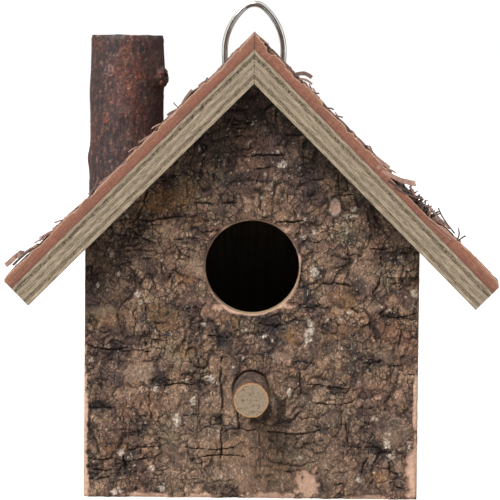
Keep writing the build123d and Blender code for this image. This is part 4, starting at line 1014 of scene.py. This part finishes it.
# flakes that lift along the front edge: width, thickness, darkness, how far they stand ahead of the edge,
# and four places along the flake, each down the slope from the ridge and above the bark
looseFlakes = {
    1: [
        (5, 1.3, 0.7, 0, (21, -0.4), (22, 2.0), (23.6, 3.6), (26.2, 3.6)),
        (4, 0.7, 0.3, 0, (23.5, -0.3), (25, 1.2), (26, 1.7), (28, 1.7)),
        (2, 0.5, 0.9, 0, (31, -0.3), (31.5, 0.4), (32, 0.9), (32.6, 1.0)),
        (2, 0.5, 0.9, 0, (38.5, -0.3), (39, 0.4), (39.6, 0.7), (40.4, 0.8)),
        (2, 0.4, 0.6, 0, (42.5, -0.3), (43, 0.3), (43.8, 0.6), (44.4, 1.1)),
        (9, 1.2, 0.2, 0, (61, -0.5), (64.5, 0.2), (67, 0.5), (69.8, 0.9)),
        (5, 0.5, 0.3, 0, (69, -0.6), (70.5, 0.3), (71.5, 0.8), (72.6, 0.8)),
        (8, 0.8, 0.95, 0, (72, -3.2), (76, -2.0), (79, -1.2), (82.5, 0.4)),
        (6, 0.7, 0.8, 0.1, (76, -3.0), (80, -2.2), (83, -0.6), (86, 1.4)),
        (12, 1.5, 0.1, 0, (66, -1.8), (73, -0.6), (76.5, 0.6), (80.0, 3.5)),
        (2.2, 0.5, 0.9, 0, (103.5, 0.3), (99, 0.8), (96, 1.0), (92.6, 2.6)),
        (4, 0.8, 0.4, 0, (101, 0.1), (98, 0.2), (95, -0.4), (90.5, 0.4)),
        (2, 0.4, 0.85, 0, (105.5, -0.2), (105.2, 1.1), (104.4, 2.0), (102.6, 2.7)),
        (1.5, 0.4, 0.85, 0, (106, -0.2), (106.3, 0.8), (106, 1.8), (106.4, 2.9)),
        (3, 0.5, 0.0, 0.3, (92.5, -2.0), (97, -1.5), (101, -1.3), (105.5, -0.5)),
        (3, 0.4, 0.2, 0.2, (95, -2.9), (98, -2.5), (101, -2.4), (104, -1.9)),
        (4, 0.4, 0.0, 0, (2, -0.2), (4, 0.3), (6, 0.3), (7, 0.5)),
    ],
    -1: [
        (6, 0.7, 0.2, 0, (111, -0.4), (114, 0.4), (116, 0.9), (119, 1.2)),
        (6, 0.8, 0.5, 0, (117.4, 0.9), (117.0, 2.6), (118.6, 2.2), (120, 1.7)),
        (10, 1.6, 0.0, 0, (117.8, 1.4), (119.5, 1.9), (122, 1.8), (124.6, 2.0)),
        (8, 0.7, 0.9, 0, (113, -0.2), (116, 0.5), (119, 0.7), (122.5, 0.6)),
        (4, 0.5, 0.0, 0, (104, -0.3), (105.5, 0.4), (107, 0.6), (108.5, 1.0)),
        (3, 0.5, 0.2, 0, (108, -0.3), (109, 0.5), (110, 0.7), (111.5, 0.9)),
        (3, 0.4, 0.3, 0, (98, -0.3), (99, 0.4), (100.4, 0.7), (101, 1.2)),
        (7, 0.8, 0.4, 0, (38.5, -0.4), (36, 0.5), (34, 0.9), (31.6, 1.2)),
        (1, 0.3, 0.9, 0, (39.5, -0.3), (39.2, 0.6), (39.6, 1.2), (39.2, 2.2)),
        (3, 0.4, 0.0, 0, (48, -0.3), (49, 0.3), (50, 0.6), (51.5, 0.8)),
        (3, 0.4, 0.0, 0, (60, -0.3), (61, 0.3), (62, 0.5), (63.5, 0.7)),
        (3, 0.4, 0.5, 0, (84, -0.3), (82, 0.4), (81, 0.7), (79, 1.5)),
    ],
}
flakeTuft = dict(count=46, start=80.5, end=94, low=-2.4, rise=(1.2, 4.6))
flakeLitter = dict(count=38, long=(2.0, 5.5), lift=(-0.1, 0.5))


def slopePlace(sign, down, y, above):
    ridge = peak + (plyThick + barkThick) / cosSlope
    return Vector((sign * (down + above) * cosSlope, y, ridge + (above - down) * cosSlope))


def addFlake(bm, layers, sign, path, wide, thick, dark, start, seed):
    # a thin curled scale along four control points, ragged at its edges, closed all round
    span = sum(math.dist(a, b) for a, b in zip(path, path[1:]))
    fine = dict(x_segments=max(3, round(span / 0.45)), y_segments=max(1, round(wide / 0.6)))
    sheet = bmesh.ops.create_grid(bm, size=0.5, **fine)["verts"]
    faces = list({f for v in sheet for f in v.link_faces})
    for v in sheet:
        t, w = v.co.x + 0.5, v.co.y + 0.5
        rest = 1 - t
        shares = (rest ** 3, 3 * rest * rest * t, 3 * rest * t * t, t ** 3)
        down, above = (sum(share * point[i] for share, point in zip(shares, path)) for i in (0, 1))
        down += t * (0.6 * wave(w * wide, seed, 1.9, 3) + 0.25 * wave(w * wide, seed, 0.9, 4))
        above += min(0.16, 0.2 * thick) * wave(t * span, w * wide, 1.6, seed + 5)
        depth = w * wide * (1 - 0.35 * t * t + 0.2 * wave(t * span, seed, 2.2, 9))
        v.co = slopePlace(sign, down, start + depth + 0.15 * t * wave(t * span, w, 0.9, seed + 7), above)
        lip = max(ease(0.75, 1.0, t), 0.6 * ease(0.15, 0.0, w))
        grain = 0.5 + wave(t * span * 0.5, w * wide, 0.6, seed + 8)
        paint(v, layers, soot=min(1.0, dark * (1.3 - 0.6 * lip)), inner=0.45 * (1 - dark),
              pale=(1 - dark) * max(0.75 * lip, 0.5 * grain), crack=0.35 * dark * ease(0.3, 0.0, t))
    bmesh.ops.recalc_face_normals(bm, faces=faces)
    bmesh.ops.solidify(bm, geom=faces, thickness=thick)


def makeRoofFlakes(sign):
    bm = bmesh.new()
    layers = barkLayers(bm)
    draw = random.Random(40 + sign)
    for i, (wide, thick, dark, ahead, *path) in enumerate(looseFlakes[sign]):
        addFlake(bm, layers, sign, path, wide, thick, dark, roofLow.y - ahead, 3.7 * i)
    if sign > 0:
        # a tuft of torn bast where the long scale broke off
        for i in range(flakeTuft["count"]):
            foot = draw.uniform(flakeTuft["start"], flakeTuft["end"])
            rise = draw.uniform(*flakeTuft["rise"])
            lean = draw.uniform(-3.2, 1.4)
            low = flakeTuft["low"]
            bend = ((0, 0), (0.2, 0.4), (0.5, 0.8), (1, 1))
            path = [(foot + away * lean, low + up * rise) for away, up in bend]
            addFlake(bm, layers, sign, path, draw.uniform(0.4, 1.7), draw.uniform(0.2, 0.5),
                     draw.choice((1.0, 0.95, 0.9, 0.3)), roofLow.y + draw.uniform(-0.1, 5.0), i * 2.3)
    for i in range(flakeLitter["count"]):
        # small scales, most of them near the front edge where the saw has shaken them loose
        foot = draw.uniform(16, rafter + plyThick - 8)
        long, lift = draw.uniform(*flakeLitter["long"]), draw.uniform(*flakeLitter["lift"])
        heading = draw.choice((1, 1, -1))
        path = ((foot, -0.9), (foot + heading * long * 0.4, -0.2 + 0.2 * lift),
                (foot + heading * long * 0.7, 0.5 * lift), (foot + heading * long, lift))
        back = draw.uniform(0, 1) ** 2.2 * (roofHigh.y - roofLow.y - 8)
        if sign < 0 and math.hypot(foot - 68, roofLow.y + back - logLow.y - 14) < 26:
            continue                               # none of them under the chimney log
        addFlake(bm, layers, sign, path, draw.uniform(1.5, 6), draw.uniform(0.3, 0.7),
                 draw.choice((0.7, 0.4, 0.1)), roofLow.y + back, 50 + i * 1.9)
    bmesh.ops.recalc_face_normals(bm, faces=bm.faces)
    return finishMesh(sideNames[sign] + "RoofFlakes", bm, "house", [scalyBark], sharp=40)


for side in (-1, 1):
    makeRoofBoard(side)
    makeRoofBark(side)
    makeRoofFlakes(side)


# the chimney log and the perch
def closeEnd(bm, rim, centre, rings, layers, marks):
    # steps a round rim inwards to its centre, for sawn end grain
    loop = rim
    radius = {}
    for i in range(1, rings + 1):
        share = 1 - i / (rings + 1)
        grown = bmesh.ops.extrude_edge_only(bm, edges=loop)["geom"]
        loop = [g for g in grown if isinstance(g, bmesh.types.BMEdge) and g.is_boundary]
        fresh = {v for e in loop for v in e.verts}
        for v in fresh:
            outer = [e.other_vert(v) for e in v.link_edges if e.other_vert(v) not in fresh][0]
            full = radius.get(outer, outer.co - centre)
            radius[v] = full
            v.co = centre + full * share
            marks(v, share, layers)
        for f in {f for v in fresh for f in v.link_faces}:
            f.material_index = 1
    last = bmesh.ops.extrude_edge_only(bm, edges=loop)["geom"]
    tip = [g for g in last if isinstance(g, bmesh.types.BMVert)]
    for v in tip:
        v.co = centre
        marks(v, 0.0, layers)
        for f in v.link_faces:
            f.material_index = 1
    bmesh.ops.remove_doubles(bm, verts=tip, dist=0.001)


def makeLog(profile, turns, axis):
    # spins a straight line of points round an axis into an open tube
    bm = bmesh.new()
    verts = [bm.verts.new(p) for p in profile]
    edges = [bm.edges.new(pair) for pair in zip(verts, verts[1:])]
    bmesh.ops.spin(bm, geom=verts + edges, cent=(0, 0, 0), axis=axis, angle=2 * math.pi, steps=turns,
                   use_merge=True, use_duplicate=False)
    return bm


# angles in degrees, the front is -90, and drops in millimetres from the top of the log
chimneyLog = dict(
    radiusFoot=14.5, radiusTop=13.9, radiusMean=14.2, tall=62, offAxis=0.35, spare=3,
    sink=1.6, worn=0.8, step=0.55, turns=170,
    knot=dict(angle=-25, drop=15.8, radius=2.9, proud=1.3, shoulder=1.1),
    # angle, drop, size, how far it stands out
    bulges=[(190, 47, 9, 0.9), (170, 22, 14, 0.35), (20, 40, 12, -0.4), (262, 30, 12, 0.3)],
    # angle, drop, half width in degrees, half height, strength
    rust=[
        (-92, 6, 12, 3.6, 0.85), (-93, 15, 15, 3.6, 1.0), (-84, 20, 9, 4.5, 0.9), (-124, 31.5, 9, 3, 0.9),
        (-150, 4, 18, 4, 0.6), (-40, 17, 12, 5, 0.6), (-70, 15.5, 24, 2.2, 0.95), (-100, 14, 10, 3, 0.8),
    ],
    # angle, drop, radius
    rings=[(-118, 13.8, 1.9), (-116, 13.2, 0.9)],
)


def turnFrom(angle, at):
    return (angle - at + 180) % 360 - 180


def makeChimney():
    look = chimneyLog
    axisX = (logLow.x + logHigh.x) / 2 - look["offAxis"]
    axisY = (logLow.y + logHigh.y) / 2 + look["offAxis"]
    top = logHigh.z - look["worn"]
    foot = logLow.z - look["spare"]
    rows = round((top - foot) / look["step"])
    profile = [(1, 0, foot + (top - foot) * i / rows) for i in range(rows + 1)]
    bm = makeLog(profile, look["turns"], (0, 0, 1))
    layers = barkLayers(bm)
    for v in bm.verts:
        angle = math.degrees(math.atan2(v.co.y, v.co.x))
        z = v.co.z
        drop = top - z
        ring = Vector((math.cos(math.radians(angle)), math.sin(math.radians(angle)), 0))
        around = ring * look["radiusMean"]
        place = Vector((around.x, around.y, z))
        radius = look["radiusTop"] + (look["radiusFoot"] - look["radiusTop"]) * drop / look["tall"]
        radius += 0.35 * noise.noise(Vector((ring.x * 1.1, ring.y * 1.1, z / 30)) + Vector((4, 4, 4)))
        radius += 0.22 * noise.noise(place / 7)
        fine = noise.noise(Vector((place.x / 1.3, place.y / 1.3, z / 4.5)))
        wrinkle = abs(noise.noise(Vector((place.x / 2.4, place.y / 2.4, z / 3.4)) + Vector((9, 0, 0))))
        radius += 0.13 * fine - 0.16 * (1 - ease(0, 0.16, wrinkle))
        masks = dict(crack=0.5 * (1 - ease(0, 0.09, wrinkle)), ochre=0.0,
                     pale=0.5 * ease(0.45, 0.6, noise.noise(place / 0.9)))
        for at, down, wide, swell in look["bulges"]:
            turn = turnFrom(angle, at)
            radius += swell * math.exp(-(turn / (wide * 2.2)) ** 2 - ((drop - down) / (wide * 0.45)) ** 2)
        for at, down, wide, tall, strength in look["rust"]:
            reach = math.hypot(turnFrom(angle, at) / wide, (drop - down) / tall)
            deepen(masks, ochre=strength * (1 - ease(0.5, 1.1, reach + 0.5 * noise.noise(place / 2.2))))
        for at, down, size in look["rings"]:
            turn = math.radians(turnFrom(angle, at)) * look["radiusMean"]
            reach = math.hypot(turn, drop - down) + 0.3 * noise.noise(place / 1.2)
            band = math.exp(-((reach - size) / 0.35) ** 2)
            radius += 0.22 * band
            deepen(masks, pale=0.5 * band)
        knot = look["knot"]
        turn = math.radians(turnFrom(angle, knot["angle"])) * look["radiusMean"]
        below = drop - knot["drop"]
        reach = math.hypot(turn, below * 0.85) + 0.7 * noise.noise(place / 1.6)
        swell = 1 - ease(knot["radius"] * 0.8, knot["radius"] * 1.3, reach)
        spokes = math.cos(8 * math.atan2(below, turn) + 3.0 * noise.noise(place / 1.4))
        ripple = 0.6 * spokes * ease(0.4, 1.2, reach) + 0.4 * math.cos(reach * 4.4)
        # the stem is fuller above the knot and narrows soon under it
        fuller = ease(-12, -1.5, below) if below < 0 else ease(6, 1, below)
        radius += knot["shoulder"] * fuller * math.exp(-(turn / 6) ** 2)
        radius += swell * (knot["proud"] + 0.26 * ripple + 0.5 * noise.noise(place / 1.1))
        radius -= 1.0 * ease(1.1, 0.3, reach)
        inKnot = ease(knot["radius"] * 1.35, knot["radius"] * 0.9, reach)
        # painted reflection: the left edge of the log, turned to the key light, is painted pale; the rust is
        # thinned out in patches; painted shade: the right side, turned from the light, is painted dark through the
        # crack mask
        deepen(masks, pale=0.42 * ease(-118, -160, -abs(angle + 40)) * (1 + fine))
        masks["ochre"] *= ease(-0.25, 0.3, noise.noise(place / 1.1 + Vector((2, 2, 2))))
        masks["pale"] *= 1 - inKnot
        shaded = (1 - 0.8 * inKnot) * ease(-75, -30, angle) * ease(60, 20, angle)
        worn = ease(1.6, 0.0, drop)
        radius -= 0.45 * worn * (0.6 + 0.8 * abs(noise.noise(place / 2.6)))
        scuffed = worn * ease(0.0, 0.4, noise.noise(place / 2.2 + Vector((0, 0, 3))))
        dark = max(0.55 * shaded, ease(1.5, 0.7, reach), 0.9 * inKnot * ease(0.1, -0.35, ripple))
        deepen(masks, crack=dark, ochre=inKnot * ease(-0.1, 0.4, ripple),
               pale=max(0.5 * inKnot * ease(0.35, 0.7, ripple), 0.8 * scuffed))
        v.co.x = radius * ring.x
        v.co.y = radius * ring.y
        if drop < 0.01:
            v.co.z += 0.25 * noise.noise(ring * 2.2)
        paint(v, layers, **masks)
    rim = [e for e in openEdges(bm) if e.verts[0].co.z > top - 2]

    def topMarks(v, share, layers):
        v.co.z = top + 0.12 * noise.noise(Vector((v.co.x / 2, v.co.y / 2, 1)))
        paint(v, layers, crack=ease(0.10, 0.04, share), ochre=0.6 * ease(0.9, 0.97, share))

    closeEnd(bm, rim, Vector((0, 0, top)), 14, layers, topMarks)
    bmesh.ops.translate(bm, vec=(axisX, axisY, 0), verts=bm.verts)
    # the foot is cut to the slope and sits into the roof's uneven bark
    ridge = peak + (plyThick + barkThick) / cosSlope
    cut = cutAway(bm, (0, 0, ridge - look["sink"] / cosSlope), (-1, 0, 1), dist=0.001, clear_inner=True)
    footRim = [g for g in cut if isinstance(g, bmesh.types.BMEdge)]
    bmesh.ops.triangle_fill(bm, use_beauty=False, edges=footRim)
    bmesh.ops.recalc_face_normals(bm, faces=bm.faces)
    return finishMesh("chimneyLogPiece", bm, "house", [smoothBark, logEnd], ["chimney_log"])


perchBranch = dict(turns=110, step=0.5, taper=0.35, ridge=0.16)


def makePerch():
    look = perchBranch
    front, back = perchLow.y, perchHigh.y
    rows = round((back - front) / look["step"])
    profile = [(1, front + (back - front) * i / rows, 0) for i in range(rows + 1)]
    bm = makeLog(profile, look["turns"], (0, 1, 0))
    layers = barkLayers(bm)
    for v in bm.verts:
        y = v.co.y
        ring = Vector((v.co.x, 0, v.co.z)).normalized()
        place = ring * perchAt["radius"] + Vector((0, y, 0))
        out = y - front
        radius = perchAt["radius"] - 0.12 + look["taper"] * (0.5 - out / (back - front)) * 0.6
        radius += 0.22 * noise.noise(ring * 1.3 + Vector((0, y / 16, 2)))
        ridge = noise.noise(Vector((place.x / 1.5, y / 4, place.z / 1.5)))
        radius += look["ridge"] * ridge + 0.08 * noise.noise(place / 0.8)
        radius -= 0.35 * ease(0.8, 0.0, out)
        v.co.x, v.co.z = radius * ring.x, radius * ring.z
        stain = 0.5 * ease(0.1, 0.45, noise.noise(place / 6 + Vector((5, 5, 5))))
        paint(v, layers, crack=0.6 * ease(0.25, 0.5, ridge),
              soot=0.5 * ease(0.1, 0.4, noise.noise(place / 5)),
              ochre=max(0.9 * ease(1.5, 0.3, out), stain),
              pale=0.6 * ease(0.4, 0.6, noise.noise(place / 1.3)))
    rim = [e for e in openEdges(bm) if e.verts[0].co.y < front + 2]

    def endMarks(v, share, layers):
        v.co.y = front - 0.02 + 0.10 * noise.noise(Vector((v.co.x / 1.6, 3, v.co.z / 1.6)))
        dots = noise.noise(Vector((v.co.x / 0.62, 8, v.co.z / 0.62)))
        paint(v, layers, crack=max(0.5 * ease(0.30, 0.60, dots), 0.6 * ease(0.12, 0.05, share)),
              ochre=0.9 * ease(0.90, 0.96, share))

    closeEnd(bm, rim, Vector((0, front, 0)), 22, layers, endMarks)
    bmesh.ops.triangle_fill(bm, use_beauty=False, edges=openEdges(bm))
    bmesh.ops.translate(bm, vec=(perchAt["x"], 0, perchAt["z"]), verts=bm.verts)
    bmesh.ops.recalc_face_normals(bm, faces=bm.faces)
    return finishMesh("perchBranchPiece", bm, "house", [furrowedBark, perchEnd], ["perch"])


makeChimney()
makePerch()

# finishes on the parts that keep their own shape
finishes = {
    "front_wall": plyFront, "rear_wall": plyRear, "left_wall": plyLeft, "right_wall": plyRight,
    "floor_board": plyFloor, "clean_out_door": plyDoor,
    "hanger_ring": drawnSteel, "hanger_strap": rolledSteel,
}
for name, node in nodes.items():
    if node.hide_render:
        continue
    node.data.materials.clear()
    node.data.materials.append(finishes.get(name, zincPlate))
print("finishes on", len(nodes), "nodes")

# the stage: a pale floor and soft light
stage = dict(floorTone="#8A8987", floorGlow=0.24, floorWhite=0.70, skyGlow=0.30, backdrop=1.02, shine=1.5,
             key=dict(towards=(0.50, 1.0, -1.20), strength=4.75, soft=42),
             back=dict(towards=(0.4, -1.0, -0.7), strength=0.9, soft=40))
floorMesh = bmesh.new()
bmesh.ops.create_grid(floorMesh, x_segments=1, y_segments=1, size=8.0)
floorData = bpy.data.meshes.new("floor")
floorMesh.to_mesh(floorData)
floorMesh.free()
floor = bpy.data.objects.new("floor", floorData)
bpy.context.scene.collection.objects.link(floor)
floor.location.z = -0.0002
floorMaterial, floorTree, floorShader = newMaterial("paleFloor")
floorShader.inputs["Base Color"].default_value = linear(stage["floorTone"])
floorShader.inputs["Roughness"].default_value = 0.95
floorShader.inputs["Emission Color"].default_value = linear("#FFFFFF")
seen = addNode(floorTree, "Math", {0: addNode(floorTree, "LightPath").outputs["Is Camera Ray"],
                                   1: stage["floorWhite"], 2: stage["floorGlow"]}, operation="MULTIPLY_ADD")
floorTree.links.new(seen.outputs[0], floorShader.inputs["Emission Strength"])
floorData.materials.append(floorMaterial)

# the studio is white where the camera looks, dimmer as a light, and dark behind the camera for the steel
world = bpy.data.worlds.new("softStudio")
bpy.context.scene.world = world
world.use_nodes = True
skyTree = world.node_tree
sky = skyTree.nodes["Background"]
sky.inputs["Color"].default_value = linear("#FFFFFF")
rays = addNode(skyTree, "LightPath")
heading = addNode(skyTree, "SeparateXYZ", {0: addNode(skyTree, "TexCoord").outputs["Generated"]})
turned = addNode(skyTree, "MapRange", {"Value": heading.outputs["Y"], "From Min": -1.0, "From Max": 1.0})
mirrored = addNode(skyTree, "ValToRGB", {0: turned.outputs[0]},
                   stops=[(0.10, 0.08), (0.26, 1.0), (0.54, 1.0), (0.72, 0.16)])
bright = addNode(skyTree, "Math", {0: mirrored.outputs[0], 1: stage["shine"]}, operation="MULTIPLY")
glossy = addNode(skyTree, "Math", {0: bright.outputs[0], 1: rays.outputs["Is Glossy Ray"]},
                 operation="MULTIPLY")
diffuse = addNode(skyTree, "Math", {0: rays.outputs["Is Diffuse Ray"], 1: stage["skyGlow"],
                                    2: glossy.outputs[0]},
                  operation="MULTIPLY_ADD")
total = addNode(skyTree, "Math", {0: rays.outputs["Is Camera Ray"], 1: stage["backdrop"],
                                  2: diffuse.outputs[0]},
                operation="MULTIPLY_ADD")
skyTree.links.new(total.outputs[0], sky.inputs["Strength"])
bpy.context.scene.view_settings.view_transform = "Standard"

for name in ("key", "back"):
    light = bpy.data.lights.new(name, "SUN")
    light.energy = stage[name]["strength"]
    light.angle = math.radians(stage[name]["soft"])
    holder = bpy.data.objects.new(name, light)
    holder.rotation_euler = Vector(stage[name]["towards"]).to_track_quat("-Z", "Y").to_euler()
    bpy.context.scene.collection.objects.link(holder)
print("stage set")
